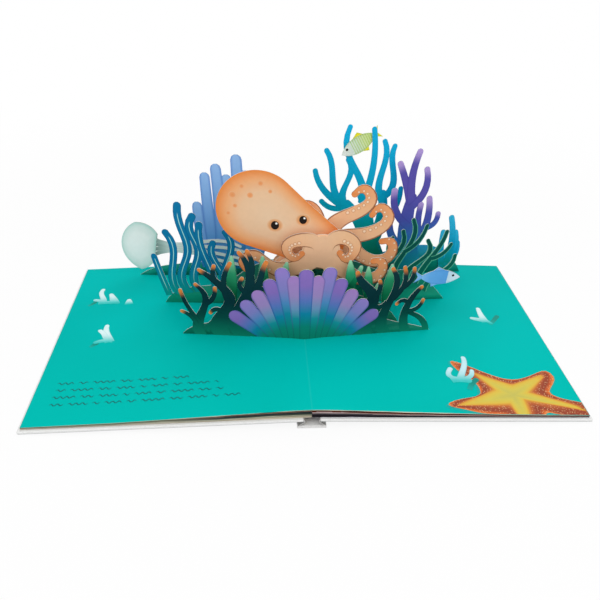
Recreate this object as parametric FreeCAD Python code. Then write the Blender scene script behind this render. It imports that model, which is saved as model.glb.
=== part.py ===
"""Pop-up book, lying open: hard covers, a spine board, page blocks and a card reef.

Millimetres. X runs across the spread (left page negative), Y from the reader's edge
to the far edge, Z up. The origin is on the table under the gutter, at mid-depth.
"""

import FreeCAD, Part
import math
import os

Vector = FreeCAD.Vector

# ---- page blocks ----------------------------------------------------------
PAGE_WIDTH = 225.0        # gutter to fore-edge
PAGE_DEPTH = 250.0        # reader's edge to far edge
GUTTER_TOP = 16.7         # page surface at the gutter
CROWN_END = 30.0          # where the rounded crown meets the straight slope
CROWN_MID_Z = 16.25
CROWN_END_Z = 15.4
SLOPE_END = 150.0         # where the page flattens towards the fore-edge
SLOPE_END_Z = 7.9
FORE_EDGE_TOP = 4.9
GUTTER_GAP = 0.3          # between the left and right page blocks
LEAF_COUNT = 4            # leaves that show at the reader's edge
LEAF_GAP = 0.8            # mouth of the slot between two leaves, at the gutter
LEAF_SLOT_REACH = 150.0   # how far the longest slot runs from the gutter

# ---- covers and spine -----------------------------------------------------
OVERHANG = 2.5            # cover beyond the pages
BOARD_THICKNESS = 2.6
BOARD_INNER_X = 6.4       # inner edge of each cover board
BOARD_INNER_Z = 6.4       # its underside there; the fore-edge lies on the table
SPINE_WIDTH = 23.2
SPINE_THICKNESS = 2.6
PAPER_THICKNESS = 0.5     # hinge strips
HINGE_GAP = 0.1           # hinge strip to the edge of the board
BOARD_ROUND = 0.6         # covered corners of the boards

# ---- pop-up card ----------------------------------------------------------
CARD = 0.6                # thickness of the pop-up card
FOOT_GAP = 0.3            # pop-up sheet above the page it is tabbed into
GLUE_GAP = 0.3            # between a card piece and the card behind it
SLOT_GAP = 0.3            # around a strut where it passes a sheet
CURVE_STEPS = 4           # straight cuts for each span of a curved outline

REEF_HEIGHT = 163.8       # top of the blue coral above the gutter
DRAWN_HEIGHT = 163.8      # the same height in the outlines drawn below
REEF_SCALE = REEF_HEIGHT / DRAWN_HEIGHT

# sheets folded on the gutter: y at the crease, rise in y for each mm of |x|
FRONT_REEF = (-0.116 * PAGE_DEPTH, 0.19)
SPROUTS = (-0.060 * PAGE_DEPTH, 0.17)
FRONT_ARMS = (-0.024 * PAGE_DEPTH, 0.10)
MANTLE = (0.004 * PAGE_DEPTH, 0.10)
REAR_ARMS = (0.032 * PAGE_DEPTH, 0.10)
MIDDLE_REEF = (0.112 * PAGE_DEPTH, 0.16)
PURPLE_CORAL = (0.232 * PAGE_DEPTH, 0.15)
BLUE_CORAL = (0.272 * PAGE_DEPTH, 0.15)
REAR_REEF = (0.340 * PAGE_DEPTH, 0.14)

STRUT_HEIGHT = 8.0
FIGURE_STRUT_X = 28.0     # the two struts that carry the octopus, as drawn
FIGURE_STRUT_Z = 50.0
REAR_STRUT_LEFT_X = -70.0
REAR_STRUT_RIGHT_X = 74.0
REAR_STRUT_Z = 14.5


# ---- small helpers --------------------------------------------------------
def polygon(points):
    """Face in the XZ plane from corner points."""
    corners = [Vector(x, 0, z) for x, z in points]
    corners.append(corners[0])
    return Part.Face(Part.makePolygon(corners))


def prism(face, y_start, length):
    """Extrude an XZ face along Y."""
    moved = face.copy()
    moved.translate(Vector(0, y_start, 0))
    return moved.extrude(Vector(0, length, 0))


def smooth(points):
    """Points along a smooth curve through the given ones, a few for each span."""
    if len(points) < 3:
        return list(points)
    spline = Part.BSplineCurve()
    spline.interpolate(points)
    count = CURVE_STEPS * (len(points) - 1)
    first = spline.FirstParameter
    span = spline.LastParameter - first
    return [spline.value(first + span * i / count) for i in range(count + 1)]


def outline_face(points):
    """Face bounded by a closed line through the points."""
    return Part.Face(Part.makePolygon(points + points[:1]))


def limb(path, widths, tip_steps=5):
    """Round-tipped strand along a path, with a width for each point of it."""
    left = []
    right = []
    last = len(path) - 1
    for i, (x, z) in enumerate(path):
        before = path[max(i - 1, 0)]
        after = path[min(i + 1, last)]
        run = math.hypot(after[0] - before[0], after[1] - before[1])
        tangent = Vector((after[0] - before[0]) / run, 0, (after[1] - before[1]) / run)
        across = Vector(-tangent.z, 0, tangent.x)
        half = widths[i] / 2
        left.append(Vector(x, 0, z) + across * half)
        right.append(Vector(x, 0, z) - across * half)
    end = Vector(path[last][0], 0, path[last][1])
    tip = []
    for i in range(1, tip_steps):
        turn = math.pi * i / tip_steps
        tip.append(end + across * (half * math.cos(turn)) + tangent * (half * math.sin(turn)))
    right.reverse()
    return outline_face(smooth(left) + tip + smooth(right))


def strand(width_base, width_tip, *path):
    """Limb whose width tapers evenly from base to tip."""
    last = len(path) - 1
    step = (width_tip - width_base) / last
    return limb(path, [width_base + step * i for i in range(last + 1)])


def leaf(width, x, z_base, x_tip, z_tip):
    """Lens-shaped blade."""
    path = [(x, z_base), (0.6 * x + 0.4 * x_tip, 0.5 * (z_base + z_tip)), (x_tip, z_tip)]
    return limb(path, [0.45 * width, width, 0.3 * width])


def disc(x, z, radius):
    circle = Part.makeCircle(radius, Vector(x, 0, z), Vector(0, 1, 0))
    return Part.Face(Part.Wire([circle]))


def egg(x1, z1, r1, x2, z2, r2):
    """Two circles and the lines that touch both, as one outline."""
    run = math.hypot(x2 - x1, z2 - z1)
    heading = math.atan2(z2 - z1, x2 - x1)
    spread = math.acos((r1 - r2) / run)

    def on_circle(x, z, r, angle):
        return Vector(x + r * math.cos(angle), 0, z + r * math.sin(angle))

    start_big = on_circle(x1, z1, r1, heading + spread)
    end_big = on_circle(x1, z1, r1, heading - spread)
    start_small = on_circle(x2, z2, r2, heading - spread)
    end_small = on_circle(x2, z2, r2, heading + spread)
    return Part.Face(Part.Wire([
        Part.Arc(start_big, on_circle(x1, z1, r1, heading + math.pi), end_big).toShape(),
        Part.LineSegment(end_big, start_small).toShape(),
        Part.Arc(start_small, on_circle(x2, z2, r2, heading), end_small).toShape(),
        Part.LineSegment(end_small, start_big).toShape(),
    ]))


def joined(faces):
    """One outline from overlapping faces, all turned the same way first."""
    turned = [f if f.normalAt(0, 0).y > 0 else f.reversed() for f in faces]
    whole = turned[0].multiFuse(turned[1:])
    return whole.removeSplitter()


def mound(points):
    """Reef base: a smooth top line, closed far below the page surface."""
    top = smooth([Vector(x, 0, z) for x, z in points])
    floor = -5.0
    return outline_face(top + [Vector(points[-1][0], 0, floor), Vector(points[0][0], 0, floor)])


# ---- page surface ---------------------------------------------------------
def page_top(side, lift=0.0, start=GUTTER_GAP / 2, end=PAGE_WIDTH):
    """Top line of one page block, from the gutter to the fore-edge."""
    inner = Vector(side * start, 0, GUTTER_TOP + lift)
    crown = Vector(side * CROWN_END / 2, 0, CROWN_MID_Z + lift)
    shoulder = Vector(side * CROWN_END, 0, CROWN_END_Z + lift)
    knee = Vector(side * SLOPE_END, 0, SLOPE_END_Z + lift)
    outer = Vector(side * end, 0, FORE_EDGE_TOP + lift)
    return [
        Part.Arc(inner, crown, shoulder).toShape(),
        Part.LineSegment(shoulder, knee).toShape(),
        Part.LineSegment(knee, outer).toShape(),
    ]


def ground():
    """Everything up to a foot gap above the pages, for trimming the pop-up sheets."""
    halves = []
    for side in (-1, 1):
        top = page_top(side, FOOT_GAP, 0.0)
        outline = Part.makePolygon([
            Vector(side * PAGE_WIDTH, 0, FORE_EDGE_TOP + FOOT_GAP),
            Vector(side * PAGE_WIDTH, 0, -20),
            Vector(0, 0, -20),
            Vector(0, 0, GUTTER_TOP + FOOT_GAP),
        ])
        face = Part.Face(Part.Wire(top + outline.Edges))
        halves.append(prism(face, -PAGE_DEPTH / 2, PAGE_DEPTH))
    return halves[0].fuse(halves[1])


GROUND = ground()


def drawn(z):
    """Height on the book of a height in the drawing, which grows from the gutter."""
    return GUTTER_TOP + (z - GUTTER_TOP) * REEF_SCALE


def to_size(outline):
    """The drawn outline at the size of the reef."""
    return outline.scaled(REEF_SCALE, Vector(0, 0, GUTTER_TOP))


def fold_y(fold, x):
    """Front face of a folded sheet at x."""
    return fold[0] + fold[1] * abs(x)


def folded_slab(fold, offset=0.0, reach=PAGE_WIDTH):
    """Card standing on the page, folded at the gutter with the fold towards the reader."""
    front = fold[0] + offset
    wing = front + fold[1] * reach
    corners = [
        Vector(-reach, wing, 0),
        Vector(0, front, 0),
        Vector(reach, wing, 0),
        Vector(reach, wing + CARD, 0),
        Vector(0, front + CARD, 0),
        Vector(-reach, wing + CARD, 0),
    ]
    face = Part.Face(Part.makePolygon(corners + corners[:1]))
    return face.extrude(Vector(0, 0, 2 * REEF_HEIGHT)).cut(GROUND)


def sheet(outline, fold, offset=0.0):
    """Cut an outline out of folded card."""
    whole = prism(to_size(outline), -PAGE_DEPTH / 2, PAGE_DEPTH)
    return whole.common(folded_slab(fold, offset))


# ---- covers ---------------------------------------------------------------
def board_slope():
    """Drop of a board from its inner edge to its fore-edge, per mm."""
    return BOARD_INNER_Z / (PAGE_WIDTH + OVERHANG - BOARD_INNER_X)


def board_top(x):
    """Top face of a board at a distance from the gutter."""
    rise = BOARD_THICKNESS / math.cos(math.atan(board_slope()))
    return BOARD_INNER_Z + rise - board_slope() * (x - BOARD_INNER_X)


def cover(side):
    length = PAGE_WIDTH + OVERHANG - BOARD_INNER_X
    depth = PAGE_DEPTH + 2 * OVERHANG
    tilt = math.degrees(math.atan(board_slope()))
    board = Part.makeBox(length / math.cos(math.radians(tilt)), depth, BOARD_THICKNESS)
    uprights = [e for e in board.Edges if abs(e.Vertexes[0].Z - e.Vertexes[1].Z) > 1]
    outer = [e for e in uprights if e.Vertexes[0].X > 1]
    board = board.makeFillet(2 * BOARD_ROUND, outer)
    board.rotate(Vector(0, 0, 0), Vector(0, 1, 0), tilt)
    board.translate(Vector(BOARD_INNER_X, -depth / 2, BOARD_INNER_Z))
    if side < 0:
        board = board.mirror(Vector(0, 0, 0), Vector(1, 0, 0))
    return board


def spine_board():
    depth = PAGE_DEPTH + 2 * OVERHANG
    board = Part.makeBox(SPINE_WIDTH, depth, SPINE_THICKNESS)
    board.translate(Vector(-SPINE_WIDTH / 2, -depth / 2, 0))
    top_edges = [
        e for e in board.Edges
        if abs(e.Vertexes[0].Z - SPINE_THICKNESS) < 0.01
        and abs(e.Vertexes[1].Z - SPINE_THICKNESS) < 0.01
        and abs(e.Vertexes[0].X - e.Vertexes[1].X) < 0.01
    ]
    return board.makeFillet(BOARD_ROUND, top_edges)


def hinge_paper(side):
    """Strip from the edge of the spine board up the inner edge of a cover board."""
    run = BOARD_INNER_X - HINGE_GAP
    foot = SPINE_WIDTH / 2 - BOARD_ROUND
    elbow = BOARD_INNER_Z
    head = board_top(BOARD_INNER_X)
    points = [
        (foot, SPINE_THICKNESS),
        (run, elbow),
        (run, head),
        (run - PAPER_THICKNESS, head),
        (run - PAPER_THICKNESS, elbow - 0.4 * PAPER_THICKNESS),
        (foot - 1.8 * PAPER_THICKNESS, SPINE_THICKNESS),
    ]
    face = polygon([(side * x, z) for x, z in points])
    depth = PAGE_DEPTH + 2 * OVERHANG
    return prism(face, -depth / 2, depth)


# ---- pages ----------------------------------------------------------------
def leaf_slot(side, index):
    """Wedge between two leaves, open at the gutter and closing towards the fore-edge."""
    inner = GUTTER_GAP / 2
    stack = GUTTER_TOP - board_top(inner)
    leaf_pitch = stack / LEAF_COUNT
    level = board_top(inner) + leaf_pitch * index
    share = index / LEAF_COUNT
    reach = LEAF_SLOT_REACH * (0.4 + 0.6 * share)
    end_top = SLOPE_END_Z + (SLOPE_END - reach) * (CROWN_END_Z - SLOPE_END_Z) / (SLOPE_END - CROWN_END)
    end = board_top(reach) + (end_top - board_top(reach)) * share
    bend = board_top(CROWN_END) + (CROWN_END_Z - board_top(CROWN_END)) * share
    points = [
        (inner - 1, level + LEAF_GAP / 2),
        (inner - 1, level - LEAF_GAP / 2),
        (CROWN_END, bend - 0.4 * LEAF_GAP),
        (reach, end),
        (CROWN_END, bend + 0.4 * LEAF_GAP),
    ]
    face = polygon([(side * x, z) for x, z in points])
    return prism(face, -PAGE_DEPTH / 2 - 1, PAGE_DEPTH + 2)


def pages(side):
    inner = GUTTER_GAP / 2
    outline = Part.makePolygon([
        Vector(side * PAGE_WIDTH, 0, FORE_EDGE_TOP),
        Vector(side * PAGE_WIDTH, 0, board_top(PAGE_WIDTH)),
        Vector(side * inner, 0, board_top(inner)),
        Vector(side * inner, 0, GUTTER_TOP),
    ])
    block = prism(Part.Face(Part.Wire(page_top(side) + outline.Edges)), -PAGE_DEPTH / 2, PAGE_DEPTH)
    for index in range(1, LEAF_COUNT):
        block = block.cut(leaf_slot(side, index))
    return block


# ---- reef sheets ----------------------------------------------------------
def fan_shell():
    """Fan of rounded ribs, long and short in turn, lower at the sides."""
    rib_tops = (88, 81, 88, 76, 64, 53, 41)
    ribs = []
    for k in range(-6, 7):
        tip = (10.2 * k, rib_tops[abs(k)] - 6.5)
        foot = (4.4 * k, 10.0)
        ribs.append(limb([foot, tip], [9.0, 13.0], 9))
    return ribs


def left_thicket():
    """Dark branching coral left of the shell."""
    return [
        strand(11, 3.6, (-93, 10), (-94, 30), (-88, 46), (-96, 64)),
        strand(5, 3.4, (-95, 26), (-103, 38), (-110, 57)),
        strand(4.5, 3.4, (-97, 22), (-104, 32), (-110, 35)),
        strand(5, 3.6, (-89, 44), (-81, 52), (-79, 62)),
        strand(16, 3.6, (-68, 8), (-74, 34), (-66, 52), (-77, 68), (-92, 79)),
        strand(6, 3.6, (-68, 50), (-71, 70), (-65, 88)),
        strand(5, 3.6, (-74, 64), (-80, 74), (-79, 84)),
        strand(5, 3.4, (-72, 38), (-80, 40), (-84, 36)),
        strand(18, 3.8, (-50, 10), (-60, 34), (-51, 56), (-48, 78), (-57, 99)),
        strand(6, 3.8, (-49, 74), (-46, 88), (-50, 101)),
        strand(8, 3.8, (-52, 54), (-41, 68), (-38, 80), (-34, 92)),
        strand(5, 3.6, (-42, 66), (-35, 66), (-30, 72)),
        strand(5, 3.6, (-50, 60), (-57, 66), (-55, 74)),
        strand(5, 3.4, (-88, 16), (-80, 28), (-72, 30)),
    ]


def right_thicket():
    """Dark branching coral right of the shell."""
    return [
        strand(18, 3.8, (58, 8), (56, 36), (61, 54), (51, 68), (45, 80)),
        strand(6, 3.6, (60, 50), (66, 59), (66, 69)),
        strand(12, 3.8, (78, 8), (72, 34), (80, 54), (77, 80)),
        strand(6, 3.6, (78, 48), (88, 60), (88, 80)),
        strand(5, 3.6, (86, 58), (95, 66), (97, 78)),
        strand(10, 3.8, (99, 6), (92, 30), (97, 46), (106, 58)),
        strand(5, 3.4, (74, 46), (67, 42), (62, 46)),
        strand(5, 3.6, (94, 34), (104, 36), (109, 44)),
        strand(7, 3.6, (114, 4), (113, 18), (104, 28), (96, 32)),
        strand(4.5, 3.6, (96, 40), (89, 46), (84, 43)),
    ]


def front_reef():
    base = mound([(-111, 10.5), (-98, 21), (-80, 27), (-58, 38), (-30, 50), (0, 54),
                  (30, 50), (58, 37), (84, 24), (104, 17), (121, 9)])
    outline = joined([base] + fan_shell() + left_thicket() + right_thicket())
    return sheet(outline, FRONT_REEF)


def sprouts():
    base = mound([(-88, 10), (-70, 34), (-40, 50), (0, 58), (40, 52), (70, 38), (92, 10)])
    blades = [
        leaf(11, -66, 30, -64, 87),
        leaf(13, -50, 34, -47, 74),
        leaf(10, -36, 40, -37, 89),
        leaf(10, -22, 46, -16, 85),
        leaf(9, 8, 50, 5, 78),
        leaf(10, 42, 44, 40, 84),
        strand(6, 4, (41, 58), (47, 68), (50, 77)),
        leaf(9, 58, 40, 57, 76),
        leaf(11, 76, 28, 79, 76),
        leaf(9, 64, 30, 67, 58),
    ]
    return sheet(joined([base] + blades), SPROUTS)


def middle_reef():
    base = mound([(-133, 9), (-122, 22), (-100, 30), (-74, 36), (-44, 58), (-12, 64),
                  (20, 64), (52, 60), (80, 47), (104, 46), (126, 32), (146, 9)])
    ribbons = [
        strand(7, 6, (-128, 18), (-133, 34), (-137, 48), (-140, 60)),
        strand(8, 7, (-118, 20), (-124, 42), (-121, 62), (-127, 86)),
        strand(8.5, 7.5, (-108, 22), (-114, 46), (-107, 68), (-112, 92), (-114, 114)),
        strand(8.5, 7.5, (-98, 24), (-102, 48), (-97, 70), (-104, 90), (-101, 104)),
        strand(8, 7, (-82, 26), (-86, 48), (-94, 72), (-95, 96)),
        strand(8, 6.5, (-78, 28), (-77, 50), (-84, 64), (-83, 78)),
        strand(8, 6.5, (-66, 30), (-72, 54), (-66, 74), (-71, 90)),
    ]
    fronds = [
        strand(7, 4.5, (74, 30), (82, 56), (95, 70), (96, 88)),
        strand(7, 4.5, (92, 30), (94, 56), (106, 78), (105, 99)),
        strand(5.5, 4.2, (99, 66), (112, 76), (119, 92)),
        strand(7, 4.5, (106, 30), (110, 50), (124, 62), (122, 76)),
        strand(7, 4.5, (114, 30), (124, 52), (133, 66), (140, 84)),
        strand(5.5, 4.2, (128, 56), (138, 60), (146, 70)),
        strand(6.5, 4.5, (124, 20), (134, 36), (146, 44), (152, 57)),
        strand(5, 4.2, (86, 62), (83, 74), (86, 82)),
    ]
    crag = [strand(26, 12, (0, 50), (4, 86), (1, 118))]
    return sheet(joined([base] + ribbons + fronds + crag), MIDDLE_REEF)


def rear_reef():
    base = mound([(-167, 7), (-150, 17), (-120, 24), (-80, 30), (-40, 34), (0, 34),
                  (40, 34), (90, 38), (118, 43), (146, 40), (164, 28), (178, 7)])
    fingers = [
        strand(14, 10, (-92, 22), (-98, 56), (-101, 90)),
        strand(14, 10, (-84, 22), (-89, 70), (-92, 121)),
        strand(15, 10.5, (-78, 22), (-78, 76), (-81, 130)),
        strand(14, 10, (-70, 22), (-68, 72), (-71, 120)),
        strand(15, 11, (-62, 22), (-60, 80), (-61, 140)),
        strand(14, 10, (-54, 22), (-50, 72), (-53, 125)),
        strand(14, 10, (-46, 22), (-38, 60), (-36, 96)),
    ]
    return sheet(joined([base] + fingers), REAR_REEF)


def blue_coral():
    limbs = [
        strand(40, 15, (84, -4), (74, 40), (67, 72)),
        strand(16, 8, (69, 62), (57, 86), (45, 103)),
        strand(8, 5, (51, 94), (33, 107), (20, 121), (13, 138)),
        strand(7.5, 5, (44, 101), (31, 121), (29, 139), (23, 157)),
        strand(7.5, 5, (47, 98), (41, 117), (47, 133), (44, 147)),
        strand(6, 5, (44, 99), (31, 99), (20, 107)),
        strand(14, 8, (68, 66), (66, 90), (59, 110)),
        strand(8, 5, (60, 104), (57, 126), (45, 149), (44, 178)),
        strand(8, 5, (60, 102), (66, 122), (69, 147), (67, 175)),
        strand(14, 8, (73, 58), (81, 86), (80, 111)),
        strand(7.5, 5, (81, 102), (76, 125), (80, 144), (78, 163)),
        strand(7.5, 5, (80, 106), (90, 124), (87, 142), (88, 158)),
        strand(7, 5, (80, 80), (93, 93), (98, 115)),
    ]
    return sheet(joined(limbs), BLUE_CORAL)


def purple_coral():
    limbs = [
        strand(34, 18, (116, -4), (112, 34), (107, 64)),
        strand(18, 10, (107, 58), (105, 86), (108, 109)),
        strand(8.5, 6, (107, 103), (101, 123), (93, 144)),
        strand(9, 6, (108, 104), (106, 130), (111, 155)),
        strand(8.5, 6, (108, 99), (120, 115), (120, 137)),
        strand(8, 6.5, (106, 80), (94, 94), (90, 117)),
        strand(9, 6.5, (106, 54), (92, 68), (88, 92)),
        strand(10, 6, (109, 52), (123, 70), (127, 88), (126, 107)),
        strand(7, 6, (120, 66), (117, 84), (118, 101)),
        strand(6, 5.5, (125, 75), (134, 80), (137, 90)),
    ]
    return sheet(joined(limbs), PURPLE_CORAL)


def stalk_tuft():
    """Cyan stalks glued to the front of the rear sheet's right end."""
    limbs = [
        strand(16, 12, (160, 14), (160, 26)),
        strand(7, 5.5, (156, 18), (153, 40), (153, 57)),
        strand(8, 6, (161, 20), (164, 48), (160, 73)),
        strand(7, 5.5, (164, 18), (169, 38), (167, 56)),
        strand(6, 5, (158, 16), (170, 28), (171, 43)),
    ]
    return sheet(joined(limbs), REAR_REEF, -CARD - GLUE_GAP)


# ---- animals --------------------------------------------------------------
def jellyfish():
    """Bell with ribbon tentacles trailing to the right, glued to the rear sheet."""
    bell_cx = -162.0
    bell_cz = 42.0
    half_width = 17.0
    half_height = 27.0
    top = Vector(bell_cx - 4, 0, bell_cz + half_height)
    left = Vector(bell_cx - half_width - 3, 0, bell_cz)
    low = Vector(bell_cx - 2, 0, bell_cz - half_height)
    right_low = Vector(bell_cx + half_width - 4, 0, bell_cz - 16)
    right_top = Vector(bell_cx + half_width + 1, 0, bell_cz + 16)
    bell = Part.Face(Part.Wire([
        Part.Arc(top, left, low).toShape(),
        Part.Arc(low, Vector(bell_cx + 8, 0, bell_cz - 22), right_low).toShape(),
        Part.LineSegment(right_low, right_top).toShape(),
        Part.Arc(right_top, Vector(bell_cx + 9, 0, bell_cz + 25), top).toShape(),
    ]))
    ribbons = []
    for k in range(4):
        start = bell_cz - 9 + 6.5 * k
        end = 27.0 + 7.0 * k
        path = [
            (bell_cx + 12, start),
            (-122.0, start + 6 - 4 * k),
            (-86.0, end + 5),
            (-52.0 - 7 * (k % 2), end),
        ]
        ribbons.append(strand(4.6, 3.0, *path))
    return sheet(joined([bell] + ribbons), REAR_REEF, -CARD - GLUE_GAP)


def fish_outline(cx, cz, length, height, facing, tilt):
    """Side view of a small fish: lens body, forked tail, two fins."""
    def at(u, v):
        x = facing * u * length
        z = v * height
        turn = math.radians(tilt)
        return (cx + x * math.cos(turn) - z * math.sin(turn),
                cz + x * math.sin(turn) + z * math.cos(turn))

    def point(u, v):
        x, z = at(u, v)
        return Vector(x, 0, z)

    nose = point(0.50, 0.0)
    waist_top = point(-0.34, 0.10)
    waist_low = point(-0.34, -0.10)
    body = Part.Face(Part.Wire([
        Part.Arc(nose, point(0.12, 0.42), waist_top).toShape(),
        Part.LineSegment(waist_top, waist_low).toShape(),
        Part.Arc(waist_low, point(0.12, -0.42), nose).toShape(),
    ]))
    tail = polygon([at(-0.28, 0.0), at(-0.50, 0.34), at(-0.43, 0.0), at(-0.50, -0.34)])
    back_fin = polygon([at(0.20, 0.34), at(-0.02, 0.60), at(-0.20, 0.20)])
    belly_fin = polygon([at(0.12, -0.34), at(-0.10, -0.58), at(-0.14, -0.20)])
    return joined([body, tail, back_fin, belly_fin])


def striped_fish():
    """Woven between two branches of the blue coral: body in front, tail behind."""
    outline = fish_outline(55.0, 162.5, 41.0, 19.0, -1, 29.0)
    crossing = 56.5 * REEF_SCALE
    twist = 0.14
    lean = BLUE_CORAL[1] + twist
    x_start = crossing - 27.0 * REEF_SCALE
    x_end = crossing + 24.0 * REEF_SCALE
    y_start = fold_y(BLUE_CORAL, crossing) + lean * (x_start - crossing)
    y_end = fold_y(BLUE_CORAL, crossing) + lean * (x_end - crossing)
    corners = [
        Vector(x_start, y_start, 0),
        Vector(x_end, y_end, 0),
        Vector(x_end, y_end + CARD, 0),
        Vector(x_start, y_start + CARD, 0),
    ]
    slab = Part.Face(Part.makePolygon(corners + corners[:1])).extrude(Vector(0, 0, 2 * REEF_HEIGHT))
    return prism(to_size(outline), -PAGE_DEPTH / 2, PAGE_DEPTH).common(slab)


def blue_fish():
    """Glued behind the outer branch of the front sheet."""
    outline = fish_outline(120.0, 66.0, 44.0, 17.0, 1, -6.0)
    return sheet(outline, FRONT_REEF, CARD + GLUE_GAP)


# ---- octopus --------------------------------------------------------------
def figure_foot(side, z_top):
    """Leg of an octopus layer, down over a strut."""
    return strand(13, 9, (12 + side * 6.0, z_top), (side * 25.0, 70.0), (side * FIGURE_STRUT_X, FIGURE_STRUT_Z))


def octopus_mantle():
    parts = [
        egg(-41, 128, 35.5, 14, 95, 21),
        figure_foot(-1, 92.0),
        figure_foot(1, 90.0),
    ]
    return sheet(joined(parts), MANTLE)


def octopus_rear_arms():
    arms = [
        disc(16, 96, 20),
        strand(16, 6, (13, 102), (11, 118), (4, 130), (-5, 132)),
        strand(17, 6.5, (22, 100), (34, 117), (50, 124), (58, 134), (52, 143), (43, 139)),
        strand(17, 6.5, (26, 96), (46, 99), (66, 104), (75, 116), (68, 125), (60, 119)),
        strand(17, 6.5, (24, 88), (46, 84), (66, 72), (80, 78), (80, 90), (71, 92)),
        figure_foot(-1, 90.0),
        figure_foot(1, 88.0),
    ]
    return sheet(joined(arms), REAR_ARMS)


def octopus_front_arms():
    arms = [
        disc(14, 92, 17),
        strand(15, 6, (10, 98), (-6, 104), (-16, 96), (-11, 87), (-3, 91)),
        strand(17, 6.5, (20, 96), (36, 104), (44, 94), (38, 84), (31, 90)),
        strand(17, 6.5, (8, 86), (-10, 76), (-30, 77), (-45, 88), (-54, 82), (-52, 74)),
        strand(17, 6.5, (18, 84), (38, 70), (56, 62), (69, 67), (70, 78), (62, 80)),
        figure_foot(-1, 86.0),
        figure_foot(1, 84.0),
    ]
    return sheet(joined(arms), FRONT_ARMS)


# ---- struts ---------------------------------------------------------------
def strut_box(x, z, front_fold, rear_fold, grow=0.0):
    """Upright strip along Y between two sheets, at a place in the drawing."""
    x = x * REEF_SCALE
    z = drawn(z)
    y_start = fold_y(front_fold, x) + CARD + GLUE_GAP + front_fold[1] * CARD
    y_end = fold_y(rear_fold, x) - GLUE_GAP - rear_fold[1] * CARD
    strip = Part.makeBox(CARD + 2 * grow, y_end - y_start, STRUT_HEIGHT + 2 * grow)
    strip.translate(Vector(x - CARD / 2 - grow, y_start, z - grow))
    return strip


STRUTS = {
    "left_figure_strut": (-FIGURE_STRUT_X, FIGURE_STRUT_Z, FRONT_REEF, MIDDLE_REEF),
    "right_figure_strut": (FIGURE_STRUT_X, FIGURE_STRUT_Z, FRONT_REEF, MIDDLE_REEF),
    "left_rear_strut": (REAR_STRUT_LEFT_X, REAR_STRUT_Z, MIDDLE_REEF, REAR_REEF),
    "right_rear_strut": (REAR_STRUT_RIGHT_X, REAR_STRUT_Z, MIDDLE_REEF, REAR_REEF),
}


def slotted(piece):
    """Cut the slots where struts pass through a sheet."""
    for place in STRUTS.values():
        piece = piece.cut(strut_box(*place, grow=SLOT_GAP))
    return piece


# ---- build ----------------------------------------------------------------
def build():
    nodes = {
        "back_cover": cover(1),
        "front_cover": cover(-1),
        "spine_board": spine_board(),
        "front_hinge_paper": hinge_paper(-1),
        "back_hinge_paper": hinge_paper(1),
        "left_pages": pages(-1),
        "right_pages": pages(1),
        "front_reef": front_reef(),
        "sprouts": slotted(sprouts()),
        "octopus_front_arms": slotted(octopus_front_arms()),
        "octopus_mantle": slotted(octopus_mantle()),
        "octopus_rear_arms": slotted(octopus_rear_arms()),
        "middle_reef": middle_reef(),
        "purple_coral": slotted(purple_coral()),
        "blue_coral": slotted(blue_coral()),
        "rear_reef": rear_reef(),
        "stalk_tuft": stalk_tuft(),
        "jellyfish": jellyfish(),
        "striped_fish": striped_fish(),
        "blue_fish": blue_fish(),
    }
    for name, place in STRUTS.items():
        nodes[name] = strut_box(*place)
    return nodes


def main():
    os.makedirs("parts", exist_ok=True)
    for name, shape in build().items():
        solids = shape.Solids
        print(name, len(solids), shape.isValid(), len(shape.Faces))
        shape.exportStep("parts/" + name + ".step")


main()
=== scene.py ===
"""Looks of a pop-up book that lies open at a coral reef spread.

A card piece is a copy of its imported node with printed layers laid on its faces. Lengths in
the classes are millimetres, and MM turns them into scene metres.
"""
import logging
import math
from dataclasses import dataclass, replace
from enum import Enum
from functools import partial, reduce
from typing import Optional, Sequence, Union

import bmesh
import bpy
import numpy as np
from mathutils import Matrix, Vector


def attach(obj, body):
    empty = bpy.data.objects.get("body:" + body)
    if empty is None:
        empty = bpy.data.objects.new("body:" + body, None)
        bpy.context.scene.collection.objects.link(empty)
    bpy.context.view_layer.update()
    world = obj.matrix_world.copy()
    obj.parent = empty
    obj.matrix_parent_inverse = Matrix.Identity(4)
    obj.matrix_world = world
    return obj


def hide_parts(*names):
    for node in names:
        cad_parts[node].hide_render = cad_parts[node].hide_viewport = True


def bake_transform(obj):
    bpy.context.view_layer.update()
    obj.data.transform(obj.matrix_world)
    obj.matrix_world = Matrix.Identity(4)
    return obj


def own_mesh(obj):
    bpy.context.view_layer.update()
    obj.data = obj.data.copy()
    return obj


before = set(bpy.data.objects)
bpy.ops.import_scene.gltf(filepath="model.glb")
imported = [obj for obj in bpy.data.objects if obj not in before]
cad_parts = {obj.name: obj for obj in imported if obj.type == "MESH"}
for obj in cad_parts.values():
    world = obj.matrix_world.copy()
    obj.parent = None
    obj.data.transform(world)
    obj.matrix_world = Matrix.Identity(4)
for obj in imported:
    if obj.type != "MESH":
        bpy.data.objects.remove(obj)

LOG = logging.getLogger("popup_book")
MM = 0.001
CARD = 0.6
SHEET_GAP = 0.3
FLAT_FACE = 0.6
WHITE = (1.0, 1.0, 1.0, 1.0)
Point2 = tuple[float, float]
Point3 = tuple[float, float, float]
Stops = tuple[tuple[float, str], ...]
Points = tuple[Point2, ...]
Branch = tuple[Union[float, Point2], ...]
Branches = tuple[Branch, ...]
Piece = bpy.types.Object
Pieces = list[Piece]
Socket = bpy.types.NodeSocket
Value = Union[Socket, float, Sequence[float]]
Inputs = dict[Union[str, int], Value]


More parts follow.
